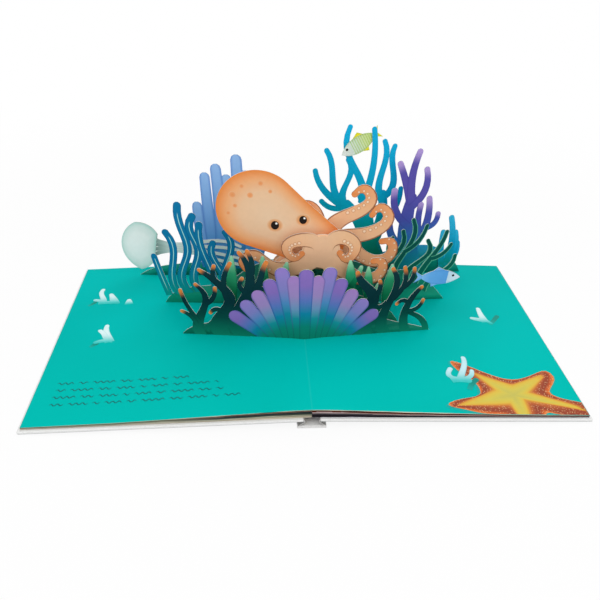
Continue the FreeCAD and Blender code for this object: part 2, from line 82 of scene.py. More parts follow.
# ---- colour and node helpers ----
def ink(code: str) -> tuple[float, float, float, float]:
    """Linear red, green and blue, and an alpha of 1, of a six-digit display colour."""
    shown = np.array([int(code[i:i + 2], 16) for i in (0, 2, 4)]) / 255
    return (*np.where(shown <= 0.04045, shown / 12.92, ((shown + 0.055) / 1.055) ** 2.4).tolist(), 1.0)


@dataclass(frozen=True)
class Grain:
    """Fine unevenness: waves to the metre, finer layers, and its relief's share and metres."""

    scale: float
    detail: float
    share: float = 0.0
    depth: float = 0.0


class Graph:
    """Small builder for the nodes of a material or a world."""

    def __init__(self, tree: bpy.types.NodeTree) -> None:
        """Start with an empty tree."""
        tree.nodes.clear()
        self.tree = tree

    def node(self, kind: str, inputs: Optional[Inputs] = None, **settings: object) -> bpy.types.Node:
        """Add a node, set its properties and feed its inputs.

        Args:
            kind: Blender's name for the kind of shader node, without those two words.
            inputs: sockets, numbers or colours by the input's name or number.
            settings: properties by name.

        Returns:
            The node.
        """
        made = self.tree.nodes.new("ShaderNode" + kind)
        for key, value in settings.items():
            setattr(made, key, value)
        for name, value in (inputs or {}).items():
            self.link(value, made.inputs[name])
        return made

    def link(self, source: Value, target: Socket) -> None:
        """Feed a socket from another one, or set it to a constant.

        Args:
            source: socket, number or colour.
            target: input socket.
        """
        if isinstance(source, Socket):
            self.tree.links.new(source, target)
        else:
            target.default_value = source

    def math(self, operation: str, *values: Value) -> Socket:
        """Sum, product or another operation, by Blender's name for it, on sockets or numbers."""
        return self.node("Math", dict(enumerate(values)), operation=operation).outputs[0]

    def times(self, *values: Value) -> Socket:
        """Product of sockets or numbers."""
        return reduce(partial(self.math, "MULTIPLY"), values)

    def between(self, share: Value, low: float, high: float) -> Socket:
        """Number that goes evenly from low at share 0 to high at share 1."""
        return self.math("MULTIPLY_ADD", share, high - low, low)

    def ease(self, value: Value, low: float, high: float, kind: str = "SMOOTHSTEP") -> Socket:
        """Step from 0 at low to 1 at high, smooth or LINEAR; it steps down where high is below low."""
        inputs = {"Value": value, "From Min": low, "From Max": high}
        return self.node("MapRange", inputs, interpolation_type=kind).outputs["Result"]

    def mix(self, share: Value, first: Value, second: Value) -> Socket:
        """Colour between two others: the first at share 0, the second at share 1."""
        return self.node("Mix", {0: share, 6: first, 7: second}, data_type="RGBA").outputs[2]

    def ramp(self, value: Value, stops: Stops, kind: str = "LINEAR") -> Socket:
        """Colour ramp through ink codes, whose places are spread over their own span.

        Args:
            value: socket or number.
            stops: place and ink code, in rising order.
            kind: LINEAR, or CONSTANT for bands that run from their place to the next.

        Returns:
            The colour's socket.
        """
        low, high = stops[0][0], stops[-1][0]
        made = self.node("ValToRGB", {0: self.ease(value, low, high, "LINEAR")})
        made.color_ramp.interpolation = kind
        elements = made.color_ramp.elements
        elements[0].color = ink(stops[0][1])
        elements[1].color = ink(stops[-1][1])
        for place, code in stops[1:-1]:
            elements.new((place - low) / (high - low)).color = ink(code)
        return made.outputs[0]

    def attribute(self, name: str) -> Socket:
        """A number stored on the mesh."""
        return self.node("Attribute", attribute_name=name).outputs["Fac"]

    def place(self) -> tuple[Socket, ...]:
        """Object coordinates as they are, then x, y and z in millimetres."""
        coords = self.node("TexCoord").outputs["Object"]
        axes = self.node("SeparateXYZ", {0: coords}).outputs
        return (coords, *(self.times(axis, 1 / MM) for axis in axes))

    def noise(self, coords: Value, grain: Grain) -> Socket:
        """Noise between 0 and 1."""
        inputs = {"Vector": coords, "Scale": grain.scale, "Detail": grain.detail}
        return self.node("TexNoise", inputs).outputs["Fac"]

    def seen(self) -> Socket:
        """1 for what the camera, a reflection or clear material looks at, else 0."""
        path = self.node("LightPath").outputs
        return reduce(partial(self.math, "MAXIMUM"),
                      (path[f"Is {ray} Ray"] for ray in ("Camera", "Glossy", "Transmission")))

    def shade(self, share: Value, first: Value, second: Value) -> Socket:
        """Shader between two others: the first at share 0, the second at share 1."""
        return self.node("MixShader", {0: share, 1: first, 2: second}).outputs[0]


class Paint(Graph):
    """Nodes of a material around one Principled shader."""

    def __init__(self, name: str) -> None:
        """Start a material with its shader joined to its output.

        Args:
            name: the material's name.
        """
        self.material = bpy.data.materials.new(name)
        self.material.use_nodes = True
        super().__init__(self.material.node_tree)
        self.shader = self.node("BsdfPrincipled")
        self.output = self.node("OutputMaterial")
        self.link(self.shader.outputs[0], self.output.inputs[0])

    def feed(self, name: str, value: Value) -> None:
        """Feed or set one of the shader's sockets."""
        self.link(value, self.shader.inputs[name])

    def bump(self, height: Value, grain: Grain) -> None:
        """Bump the shader's normal by a height between 0 and 1."""
        inputs = {"Strength": grain.share, "Distance": grain.depth, "Height": height}
        self.feed("Normal", self.node("Bump", inputs).outputs[0])


# ---- finishes ----
class Along(Enum):
    """What a printed gradient follows."""

    HEIGHT = "height above the table"
    LENGTH = "share of the way from foot to tip"
    RIM = "share of the way from the middle to the rim"


@dataclass(frozen=True)
class Finish:
    """A named material, built the first time it is asked for."""

    name: str

    def paint(self, graph: Paint) -> None:
        """Fill the material's nodes, each kind of finish in its own way."""
        raise NotImplementedError(self.name)

    def material(self) -> bpy.types.Material:
        """Find or build the material.

        Returns:
            The material with this finish's name.
        """
        known = bpy.data.materials.get(self.name)
        if known:
            return known
        graph = Paint(self.name)
        self.paint(graph)
        return graph.material


@dataclass(frozen=True)
class Print(Finish):
    """Ink on coated card: a gradient, stripes, a rim, a midrib, a tip and speckles.

    Heights are millimetres; lengths and rims are shares from 0 to 1. A span gives where
    something starts to show and where it shows fully.
    """

    stops: Stops
    follows: Along = Along.HEIGHT
    tip: Optional[str] = None
    tip_span: Point2 = (0.8, 0.92)
    midrib: Optional[str] = None
    midrib_half: float = 0.14
    midrib_soft: float = 0.3
    midrib_foot: Point2 = (0.05, 0.35)
    midrib_end: Point2 = (0.9, 0.86)
    rim: Optional[str] = None
    rim_span: Point2 = (0.72, 1)
    rim_share: float = 0.5
    rim_from: Point2 = (-1, -0.5)
    rim_foot: Optional[str] = None
    rim_foot_span: Point2 = (0.12, 0.45)
    speckle: Optional[str] = None
    speckle_size: float = 650.0
    speckle_span: Point2 = (0.3, 0.16)
    speckle_from: Point2 = (0.52, 0.62)
    stripes: Optional[tuple[str, float]] = None
    stripe_span: Point2 = (-0.2, 0.8)
    stripe_share: float = 0.7
    tone: Grain = Grain(260, 4)
    tone_range: Point2 = (0.96, 1.04)
    rough: Point2 = (0.36, 0.48)
    shine: float = 0.08
    relief: Grain = Grain(1900, 2, 0.12, 0.00004)

    def drawn(self, graph: Paint, colour: Value, along: Value, across: Value) -> Socket:
        """Lay stripes, rim, midrib and tip over the gradient, in this order.

        Stripes are where the sine of the way along is above a step. A midrib is where the way
        across is below its half width, and it fades at both ends.

        Args:
            graph: the material's nodes.
            colour: the gradient.
            along: share of the way from foot to tip.
            across: share of the way from the middle to the rim.

        Returns:
            The colour's socket.
        """
        if self.stripes:
            code, count = self.stripes
            wave = graph.math("SINE", graph.times(along, count * 2 * math.pi))
            share = graph.times(graph.ease(wave, *self.stripe_span), self.stripe_share)
            colour = graph.mix(share, colour, ink(code))
        if self.rim:
            shown = graph.ease(along, *self.rim_from)
            share = graph.times(graph.ease(across, *self.rim_span), self.rim_share, shown)
            tint: Value = ink(self.rim)
            if self.rim_foot:
                tint = graph.mix(graph.ease(along, *self.rim_foot_span), ink(self.rim_foot), tint)
            colour = graph.mix(share, colour, tint)
        if self.midrib:
            edge = [self.midrib_half * (1 + way * self.midrib_soft) for way in (1, -1)]
            ends = [graph.ease(along, *span) for span in (self.midrib_foot, self.midrib_end)]
            share = graph.times(graph.ease(across, *edge), *ends)
            colour = graph.mix(share, colour, ink(self.midrib))
        if self.tip:
            colour = graph.mix(graph.ease(along, *self.tip_span), colour, ink(self.tip))
        return colour

    def paint(self, graph: Paint) -> None:
        """Printed card whose ink varies a little in tone and gloss.

        Args:
            graph: the material's nodes.
        """
        coords, _, _, height = graph.place()
        along = graph.attribute("along")
        across = graph.math("ABSOLUTE", graph.attribute("across"))
        value = {Along.HEIGHT: height, Along.LENGTH: along, Along.RIM: across}[self.follows]
        colour = self.drawn(graph, graph.ramp(value, self.stops), along, across)
        if self.speckle:
            inputs = {"Vector": coords, "Scale": self.speckle_size}
            spots = graph.node("TexVoronoi", inputs).outputs["Distance"]
            dots = graph.times(graph.ease(spots, *self.speckle_span), graph.ease(across, *self.speckle_from))
            colour = graph.mix(dots, colour, ink(self.speckle))
        tone = graph.noise(coords, self.tone)
        inputs = {"Color": colour, "Value": graph.between(tone, *self.tone_range)}
        graph.feed("Base Color", graph.node("HueSaturation", inputs).outputs[0])
        graph.feed("Roughness", graph.between(tone, *self.rough))
        graph.feed("Specular IOR Level", self.shine)
        graph.bump(graph.noise(coords, self.relief), self.relief)


@dataclass(frozen=True)
class SeaPrint(Finish):
    """The sea printed on the spread, with painted light that makes it lighter towards the reader, and a
    little lighter at the crease.
    """

    deep: str = "00b0a9"
    pale: str = "00b8b2"
    clouds: Grain = Grain(7, 1.5)
    cloud_span: Point2 = (0.35, 0.7)
    # painted light: the sea turns towards this lighter ink near the reader's edge
    lit: str = "00c3b4"
    lit_span: Point2 = (60, -125)
    lit_share: float = 0.35
    crease: str = "54d2c8"
    crease_span: Point2 = (1, 0.3)
    crease_share: float = 0.06
    tone: Grain = Grain(300, 4)
    rough: Point2 = (0.4, 0.52)
    shine: float = 0.01
    relief: Grain = Grain(1700, 2, 0.12, 0.00004)

    def paint(self, graph: Paint) -> None:
        """Broad soft clouds of two inks, with painted light by y and a lighter band by x at the gutter's
        crease.

        Args:
            graph: the material's nodes.
        """
        coords, x, y, _ = graph.place()
        clouds = graph.ease(graph.noise(coords, self.clouds), *self.cloud_span)
        colour = graph.mix(clouds, ink(self.deep), ink(self.pale))
        # painted light: the sea lightens towards the reader's edge
        near = graph.times(graph.ease(y, *self.lit_span), self.lit_share)
        colour = graph.mix(near, colour, ink(self.lit))
        crease = graph.times(graph.ease(graph.math("ABSOLUTE", x), *self.crease_span), self.crease_share)
        graph.feed("Base Color", graph.mix(crease, colour, ink(self.crease)))
        graph.feed("Roughness", graph.between(graph.noise(coords, self.tone), *self.rough))
        graph.feed("Specular IOR Level", self.shine)
        graph.bump(graph.noise(coords, self.relief), self.relief)


@dataclass(frozen=True)
class CutEdge(Finish):
    """Pale core that shows where card is cut, with faint plies."""

    core: str = "e9ece6"
    shade: str = "c9cfc8"
    plies: Grain = Grain(1400, 3, 0.3, 0.00005)
    rough: float = 0.85

    def paint(self, graph: Paint) -> None:
        """Noise between the core's colour and a darker ply.

        Args:
            graph: the material's nodes.
        """
        plies = graph.noise(graph.place()[0], self.plies)
        graph.feed("Base Color", graph.mix(plies, ink(self.core), ink(self.shade)))
        graph.feed("Roughness", self.rough)
        graph.bump(plies, self.plies)


@dataclass(frozen=True)
class Laminate(Finish):
    """Board covered in laminated paper, a shade darker in its pores.

    The underside has the x and z of its inner edge and its fall for each millimetre.
    """

    face: str
    pore: str
    pore_span: Point2 = (0.35, 0.75)
    rough: Point2 = (0.38, 0.53)
    fibres: Grain = Grain(900, 5, 0.15, 0.00005)
    # colour of painted shade along the board's lower edge at its near and far sides
    bend: Optional[str] = None
    underside: Point3 = (6.4, 6.4, 0.02895)
    bend_span: Point2 = (0.9, 0.4)
    bend_from: Point2 = (126.2, 126.9)

    def paint(self, graph: Paint) -> None:
        """Fine fibres in colour, gloss and relief, and painted shade: grey low on the board's rounded lower
        edge at the near and far sides.

        The height above the board's underside is z less the underside's height, which falls
        evenly from its inner edge.

        Args:
            graph: the material's nodes.
        """
        coords, x, y, z = graph.place()
        fibres = graph.noise(coords, self.fibres)
        colour = graph.mix(graph.ease(fibres, *self.pore_span), ink(self.face), ink(self.pore))
        # painted shade: the near and far sides turn grey low down, where the board meets the table
        if self.bend:
            inner_x, inner_z, slope = self.underside
            raised = graph.math("MULTIPLY_ADD", graph.math("ABSOLUTE", x), slope, z)
            height = graph.math("SUBTRACT", raised, inner_z + slope * inner_x)
            edge = graph.ease(graph.math("ABSOLUTE", y), *self.bend_from)
            share = graph.times(graph.ease(height, *self.bend_span), edge)
            colour = graph.mix(share, colour, ink(self.bend))
        graph.feed("Base Color", colour)
        graph.feed("Roughness", graph.between(fibres, *self.rough))
        graph.bump(fibres, self.fibres)


@dataclass(frozen=True)
class LeafEdges(Finish):
    """Cut ends of the stacked leaves, each tinted by the print that bleeds over it; the near-black bands are
    painted shade in the gaps between leaves.

    A band starts at a share of the stack's thickness, counted from the top leaf down. A page
    line has its height at the gutter and its fall for each millimetre, a waver its waves and
    its swing.
    """

    gutter_bands: Stops
    outer_bands: Stops
    at_gutter: float = 7.6
    at_fore_edge: float = 2.0
    turns_at: Point2 = (18, 32)
    page_lines: Points = ((16.7, 0.0433), (17.275, 0.0625), (13.9, 0.04))
    wavers: Points = ((0.055, 0.03), (0.23, 0.015))
    dust: str = "6f6658"
    dust_share: float = 0.1
    plies: Grain = Grain(900, 4, 0.35, 0.00006)
    rough: float = 0.8
    shine: float = 0.15

    def paint(self, graph: Paint) -> None:
        """Bands by depth below the top leaf, over the stack's thickness at that x.

        The top is the lower of the crown's line and the upper of two page slopes. Slow sines
        of x let the bands waver.

        Args:
            graph: the material's nodes.
        """
        coords, x, _, z = graph.place()
        x = graph.math("ABSOLUTE", x)
        crown, slope, tail = (graph.math("MULTIPLY_ADD", x, -fall, start) for start, fall in self.page_lines)
        top = graph.math("MINIMUM", crown, graph.math("MAXIMUM", slope, tail))
        thinning = (self.at_fore_edge - self.at_gutter) / SPREAD.width
        stack = graph.math("MULTIPLY_ADD", x, thinning, self.at_gutter)
        depth = graph.math("DIVIDE", graph.math("SUBTRACT", top, z), stack)
        for wave, swing in self.wavers:
            depth = graph.math("MULTIPLY_ADD", graph.math("SINE", graph.times(x, wave)), swing, depth)
        bands = (graph.ramp(depth, stops, "CONSTANT") for stops in (self.gutter_bands, self.outer_bands))
        colour = graph.mix(graph.ease(x, *self.turns_at), *bands)
        plies = graph.noise(coords, self.plies)
        graph.feed("Base Color", graph.mix(graph.times(plies, self.dust_share), colour, ink(self.dust)))
        graph.feed("Roughness", self.rough)
        graph.feed("Specular IOR Level", self.shine)
        graph.bump(plies, self.plies)


THICKET = ((9, "10866c"), (20, "0a6b58"), (32, "064640"), (48, "042d33"), (100, "06353c"))
BLUE = ((12, "0d6b56"), (45, "0b7d66"), (70, "049a8e"), (92, "00a6c0"), (115, "04acd6"), (180, "12b3e4"))
PURPLE = ((14, "12a08e"), (45, "1c90b0"), (65, "2f78c4"), (85, "4c58b5"), (112, "5c53ac"))
SHELL = ((0, "0a7a60"), (0.22, "0b8474"), (0.42, "1488a0"), (0.56, "5089bf"), (0.72, "8580c2"), (1, "9a7dc9"))
SHELL_ROSE = (
    (0, "0a7a60"), (0.24, "0b8474"), (0.4, "18909c"), (0.54, "6f93bc"), (0.72, "a186bf"), (1, "ab7fc4"))
SHELL_DEEP = (
    (0, "0a7a60"), (0.26, "0b8474"), (0.44, "0f83a6"), (0.6, "5c76bc"), (0.8, "8a6cba"), (1, "8e6ebd"))
STAR = (
    (0, "c2b95a"), (0.25, "d0c052"), (0.42, "dab946"), (0.5, "d89c3c"), (0.6, "bd6433"), (0.72, "98462e"),
    (0.84, "94422c"), (0.92, "c65c2c"), (1, "e8823a"))


@dataclass(frozen=True)
class Inks:
    """Every printed finish of the spread."""

    sea: SeaPrint = SeaPrint("sea_page")
    sprig: Print = Print(
        "sea_sprig", ((0, "03b8b0"), (0.25, "4cc8c3"), (0.5, "93d9d7"), (0.8, "c6e9e9"), (1, "d6efef")),
        Along.LENGTH, rim="a9dcdc", rim_span=(0.5, 1), rim_from=(0.45, 0.9))
    star_sprig: Print = replace(
        sprig, name="star_sprig", rim="86cfd6", rim_share=0.6,
        stops=((0, "03bcb3"), (0.25, "48c8c5"), (0.5, "86d5d6"), (0.8, "b6e3e8"), (1, "c4e8ee")))
    sprig_shade: Print = Print(
        "sea_sprig_shade", ((0, "03a99f"), (0.6, "048a7c"), (1, "048a7c")), Along.LENGTH)
    ripple: Print = Print("sea_ripple", ((0, "0a5a58"), (40, "0a5a58")))
    thicket: Print = Print(
        "thicket", THICKET, tip="e2823f", tip_span=(0.72, 0.95), rim="042a2b", rim_span=(0.6, 1))
    thicket_trunk: Print = Print("thicket_trunk", THICKET, tip="e2823f", tip_span=(0.915, 0.98))
    thicket_base: Print = Print("thicket_base", THICKET)
    shell: Print = Print("shell_rib", SHELL, Along.LENGTH, rim="34569c", rim_span=(0.7, 1), rim_share=0.6,
                         rim_foot="0a5c50")
    shell_rose: Print = replace(shell, name="shell_rib_rose", stops=SHELL_ROSE, rim="45559c")
    shell_deep: Print = replace(shell, name="shell_rib_deep", stops=SHELL_DEEP, rim="2f4f9a")
    sprout: Print = Print(
        "sprout", ((0, "0a7050"), (0.35, "109562"), (0.7, "38b480"), (1, "a2e0b6")),
        Along.LENGTH, rim="0a6e50", rim_share=0.55)
    sprout_base: Print = Print("sprout_base", ((9, "0f8a6c"), (40, "0c7a58"), (90, "1c9a6c")))
    ribbon: Print = Print(
        "ribbon_weed", ((12, "0a9c88"), (32, "078c96"), (56, "0a77a6"), (115, "0b78aa")),
        midrib="b4ecdf", midrib_half=0.085, rim="085c86", rim_span=(0.7, 1), rim_share=0.6)
    frond: Print = Print(
        "frond", ((20, "0c705a"), (60, "07564d"), (100, "084e4c")),
        rim="6fd0a8", rim_span=(0.7, 0.86), rim_share=0.75)
    reef_base: Print = Print("reef_base", ((9, "10a082"), (22, "0c8a70"), (45, "0a6a58"), (120, "084a40")))
    finger: Print = Print(
        "finger_sponge", ((0, "1a8ab8"), (0.15, "3f98dc"), (0.4, "76acf0"), (1, "9cc6fb")),
        Along.LENGTH, rim="4f7fd6", rim_span=(0.5, 1), rim_share=0.65)
    rear_base: Print = Print(
        "rear_base", ((7, "0e8f7d"), (22, "0c8a7a"), (40, "1590b4"), (65, "62a4ea"), (145, "98c2fa")))
    blue: Print = Print("blue_branch", BLUE, rim="0090c0", rim_span=(0.6, 1), rim_share=0.3)
    blue_back: Print = Print("blue_back", BLUE)
    purple: Print = Print(
        "purple_branch", PURPLE, tip="b69cdc", tip_span=(0.7, 0.97), rim="43389a", rim_span=(0.6, 1),
        rim_share=0.4)
    purple_trunk: Print = Print("purple_trunk", PURPLE)
    stalk: Print = Print(
        "stalk", ((0, "0c9088"), (0.4, "06a1cb"), (1, "38bfe8")), Along.LENGTH, rim="0f8fc0")
    bell: Print = Print(
        "jelly_bell", ((0, "fdfdfc"), (0.55, "f7f9f7"), (0.86, "e2eeea"), (1, "b9ddd5")), Along.RIM)
    bell_lip: Print = Print(
        "jelly_lip", ((0, "9aa8a2"), (1, "7c908c")), Along.LENGTH, stripes=("c3cec9", 7))
    trail: Print = Print(
        "jelly_trail", ((0, "6d807a"), (0.1, "a9bab5"), (0.22, "eef3f1"), (1, "fcfdfc")), Along.LENGTH,
        rim="c6d3cf", rim_span=(0.7, 1), rim_share=0.6, midrib="dee6e3", midrib_half=0.08)
    lemon: Print = Print(
        "lemon_fish", ((0, "c6dc84"), (0.45, "d8e8ac"), (0.72, "d2e6d0"), (1, "dfece4")), Along.LENGTH,
        stripes=("a8cf5a", 11), rim="93b868", rim_span=(0.66, 1))
    lemon_head: Print = Print(
        "lemon_fish_head", ((0, "d6e6da"), (1, "e8f0ed")), Along.LENGTH, rim="a8c8b0")
    lemon_fin: Print = Print("lemon_fish_fin", ((0, "f6ee2e"), (0.7, "eee62e"), (1, "c9cf34")), Along.RIM)
    sky: Print = Print(
        "sky_fish", ((0, "86bdf0"), (0.3, "66a9e8"), (1, "5a9fe2")), Along.LENGTH, rim="4a8ed4",
        rim_share=0.6)
    sky_fin: Print = Print("sky_fish_fin", ((0, "86bdf0"), (0.7, "78b2ec"), (1, "5a9ade")), Along.RIM)
    sky_head: Print = Print(
        "sky_fish_head", ((0, "c4dcf0"), (1, "dde9f2")), Along.LENGTH, rim="8fbce4")
    pupil: Print = Print("eye_dark", ((0, "1a1412"), (1, "241a16")), Along.RIM, rough=(0.24, 0.36))
    glint: Print = Print("eye_glint", ((0, "ffffff"), (1, "f4ece4")), Along.RIM, rough=(0.24, 0.36))
    socket: Print = Print("eye_socket", ((0, "d98a52"), (0.7, "e3a06c"), (1, "edc19a")), Along.RIM)
    octopus: Print = Print(
        "octopus_skin", ((0, "ecc8a6"), (0.55, "ecc09a"), (0.8, "efab78"), (1, "e9873f")), Along.RIM)
    octopus_base: Print = Print(
        "octopus_base", ((50, "e9975c"), (62, "edb488"), (76, "efc09a"), (165, "f0b07c")))
    octopus_web: Print = Print("octopus_web", ((50, "e9975c"), (62, "edb488"), (76, "efc09a")))
    octopus_arm: Print = Print(
        "octopus_arm", ((0, "efc09a"), (0.5, "efb88c"), (1, "e88a4c")), Along.LENGTH,
        rim="8c4a2c", rim_span=(0.8, 0.94), rim_share=0.9, rim_from=(0.04, 0.26))
    sucker: Print = Print("octopus_sucker", ((0, "f9dfc6"), (0.6, "f6cfae"), (1, "c5703c")), Along.RIM)
    freckle: Print = Print("octopus_freckle", ((0, "e8935a"), (0.7, "eba06c"), (1, "eeb489")), Along.RIM)
    star: Print = Print("starfish", STAR, Along.RIM, speckle="e6bf8a")
    star_shade: Print = Print("starfish_shadow", ((0, "0a8f88"), (0.8, "079a92"), (1, "02aea6")), Along.RIM)


INKS = Inks()
CUT = CutEdge("card_cut_edge")
# the cover's grey lower-edge colour is painted shade where the board meets the table
COVER = Laminate("cover_laminate", "e6e7e6", "dededd", bend="858b89")
# spine and gutter paper are greyer than the cover: partly their own off-white, partly painted shade of the
# channel between the page blocks
SPINE = Laminate("spine_laminate", "dededc", "cfcfce")
GUTTER_PAPER = Laminate("gutter_paper", "cfcecb", "bdbcb9", rough=(0.6, 0.75))
# bands from the top leaf down: print tints of the leaves, and near-black bands that are painted shade in the
# gaps between leaves
LEFT_BANDS = (
    (0, "d8d2bc"), (0.04, "2a2e22"), (0.14, "8a6a5c"), (0.26, "16262a"), (0.42, "243a3c"), (0.54, "4a5444"),
    (0.64, "b0b29e"), (0.78, "aaa28a"), (0.88, "cfc6b2"), (1, "dcd2bc"))
LEFT_OUTER_BANDS = (
    (0, "a8b09a"), (0.12, "525a48"), (0.32, "8a8c78"), (0.52, "b6b29e"), (0.7, "c8c0b2"), (1, "d2cabf"))
RIGHT_BANDS = (
    (0, "e6dcc4"), (0.05, "3a2a1a"), (0.16, "6a2614"), (0.32, "b4a09e"), (0.46, "6e666e"), (0.58, "0a0514"),
    (1, "b4b1c1"))
RIGHT_OUTER_BANDS = (
    (0, "e6dcc4"), (0.08, "2e1206"), (0.24, "5c2a1e"), (0.4, "b09a94"), (0.54, "4a464c"), (0.66, "0a0618"),
    (1, "b4b1c1"))


def placed(name: str, data: bpy.types.ID) -> Piece:
    """New object in the scene.

    Args:
        name: its name.
        data: its mesh, lamp or camera.

    Returns:
        The object, at the origin.
    """
    made = bpy.data.objects.new(name, data)
    bpy.context.scene.collection.objects.link(made)
    return made


# ---- flat shapes ----
def walk(points: np.ndarray) -> np.ndarray:
    """Length walked along a line of points up to each of them."""
    return np.concatenate([[0], np.cumsum(np.linalg.norm(np.diff(points, axis=0), axis=1))])


def sideways(heading: np.ndarray) -> np.ndarray:
    """Unit directions to the left of headings of any length: each turned by a right angle."""
    unit = heading / np.linalg.norm(heading, axis=1)[:, None]
    return np.c_[-unit[:, 1], unit[:, 0]]


def smooth(points: np.ndarray, steps: int = 4, overlap: int = 0) -> np.ndarray:
    """Points along the smooth line through the given ones, a few for each span.

    The parameter is chord length. Three or four points lie on one polynomial. More lie on
    cubics with the same slope and curvature at every point, and with the end slopes of the
    cubic through the four points nearest each end.

    Args:
        points: corner points, one row each.
        steps: pieces for each span.
        overlap: spans at both ends that only steer the line and aren't returned.

    Returns:
        The sampled points, one row each.
    """
    count = len(points)
    if count < 3:
        return points
    knots = walk(points) / walk(points)[-1]
    t = np.linspace(knots[overlap], knots[-1 - overlap], steps * (count - 1 - 2 * overlap) + 1)
    if count < 5:
        return np.vander(t, count) @ np.linalg.solve(np.vander(knots), points)
    spans = np.diff(knots)
    rises = np.diff(points, axis=0) / spans[:, None]
    system = np.eye(count)
    target = np.zeros_like(points)
    inner = np.arange(1, count - 1)
    system[inner, inner - 1] = spans[1:]
    system[inner, inner] = 2 * (spans[:-1] + spans[1:])
    system[inner, inner + 1] = spans[:-1]
    target[inner] = 3 * (spans[1:, None] * rises[:-1] + spans[:-1, None] * rises[1:])
    slope = np.array([3.0, 2.0, 1.0, 0.0])
    for row, part in ((0, slice(0, 4)), (count - 1, slice(count - 4, count))):
        powers = knots[row] ** np.array([2.0, 1.0, 0.0, 0.0])
        target[row] = (slope * powers) @ np.linalg.solve(np.vander(knots[part]), points[part])
    slopes = np.linalg.solve(system, target)
    k = np.clip(np.searchsorted(knots, t, side="right") - 1, 0, count - 2)
    u = ((t - knots[k]) / spans[k])[:, None]
    h = spans[k][:, None]
    return ((1 + 2 * u) * (1 - u) ** 2 * points[k] + u * (1 - u) ** 2 * h * slopes[k]
            + u * u * (3 - 2 * u) * points[k + 1] + u * u * (u - 1) * h * slopes[k + 1])


def grid_faces(rows: int, columns: int, closed: bool = False) -> np.ndarray:
    """Quads of a grid of points stored row after row.

    Args:
        rows: number of rows.
        columns: points in a row.
        closed: whether the last column joins the first.

    Returns:
        Four point numbers for each quad.
    """
    r = np.arange(rows - 1)[:, None]
    c = np.arange(columns if closed else columns - 1)[None, :]
    following = (c + 1) % columns
    near, far = r * columns, (r + 1) * columns
    corners = np.broadcast_arrays(near + c, near + following, far + following, far + c)
    return np.stack(corners, axis=-1).reshape(-1, 4)


@dataclass
class Decal:
    """Printed shape on a flat sheet, with how far along and across it each point is."""

    ink: Finish
    points: np.ndarray
    faces: np.ndarray
    along: np.ndarray
    across: np.ndarray

    @classmethod
    def of_grid(cls, ink: Finish, grid: np.ndarray, along: np.ndarray, across: np.ndarray,
                closed: bool = False) -> "Decal":
        """Print of a grid of points; a row or a column of shares is spread over all of it."""
        along, across = (np.broadcast_to(share, grid.shape[:2]).ravel() for share in (along, across))
        return cls(ink, grid.reshape(-1, 2), grid_faces(*grid.shape[:2], closed), along, across)

    def __add__(self, other: "Decal") -> "Decal":
        """Both shapes as one print; they don't overlap."""
        pairs = ((self.points, other.points), (self.faces, other.faces + len(self.points)),
                 (self.along, other.along), (self.across, other.across))
        return Decal(self.ink, *(np.concatenate(pair) for pair in pairs))


def joined(decals: Sequence[Decal]) -> list[Decal]:
    """One print of several that don't overlap."""
    return [sum(decals[1:], decals[0])]


def limb(ink: Finish, path: Sequence[Point2], widths: Sequence[float], tip_steps: int = 5) -> Decal:
    """Round-tipped strand.

    Each edge is a smooth line through the path's points moved sideways by half the width. A
    point at share s across lies midway between the edges plus s times half their difference.
    The tip's rows shrink with the cosine and move on with the sine of a turn.

    Args:
        ink: finish.
        path: points from foot to tip.
        widths: full width at each point.
        tip_steps: straight cuts round the tip.

    Returns:
        The decal.
    """
    points = np.array(path, float)
    half = np.array(widths, float)[:, None] / 2
    heading = np.concatenate([points[1:], points[-1:]]) - np.concatenate([points[:1], points[:-1]])
    heading /= np.linalg.norm(heading, axis=1)[:, None]
    side = sideways(heading)
    turn = (math.pi / tip_steps * np.arange(1, tip_steps // 2 + 1))[:, None]
    ahead = points[-1] + heading[-1] * half[-1] * np.sin(turn)
    spread = side[-1] * half[-1] * np.cos(turn)
    left = np.concatenate([smooth(points + side * half), ahead + spread])
    right = np.concatenate([smooth(points - side * half), ahead - spread])
    middle, reach = (left + right) / 2, (left - right) / 2
    shares = np.linspace(-1, 1, 5)
    grid = middle[:, None, :] + shares[None, :, None] * reach[:, None, :]
    walked = walk(middle)
    return Decal.of_grid(ink, grid, (walked / walked[-1])[:, None], shares)


def strand(ink: Finish, foot: float, tip: float, *path: Point2) -> Decal:
    """Limb whose width changes evenly from foot to tip."""
    return limb(ink, path, np.linspace(foot, tip, len(path)))


def strands(ink: Finish, rows: Branches) -> list[Decal]:
    """Strand for each row of foot width, tip width and points."""
    return [strand(ink, *row) for row in rows]


def line(ink: Finish, middle: np.ndarray, width: float) -> Decal:
    """Thin stroke, narrower at its ends: the middle line moved half a width to each side.

    Args:
        ink: finish.
        middle: points of the middle line.
        width: full width.

    Returns:
        The decal.
    """
    number = np.arange(len(middle))
    taper = np.clip(np.minimum(number, number[::-1]) / 2, 0.35, 1)[:, None]
    side = sideways(np.gradient(middle, axis=0)) * taper * width / 2
    grid = np.stack([middle - side, middle + side], axis=1)
    return Decal.of_grid(ink, grid, (number / number[-1])[:, None], np.array([-1.0, 1.0]))


def patch(ink: Finish, rim: np.ndarray, centre: Point2, rings: int = 8) -> Decal:
    """Closed shape: each ring is the rim shrunk towards the centre by an even share.

    Args:
        ink: finish; its rim share runs from 0 at the centre to 1 at the rim.
        rim: points round the outline.
        centre: a point that sees the whole rim.
        rings: rings between centre and rim.

    Returns:
        The decal.
    """
    shares = np.linspace(0, 1, rings + 1)[:, None]
    middle = np.array(centre, float)
    grid = middle + shares[:, :, None] * (rim - middle)
    return Decal.of_grid(ink, grid, np.linspace(0, 1, len(rim), endpoint=False), shares, True)


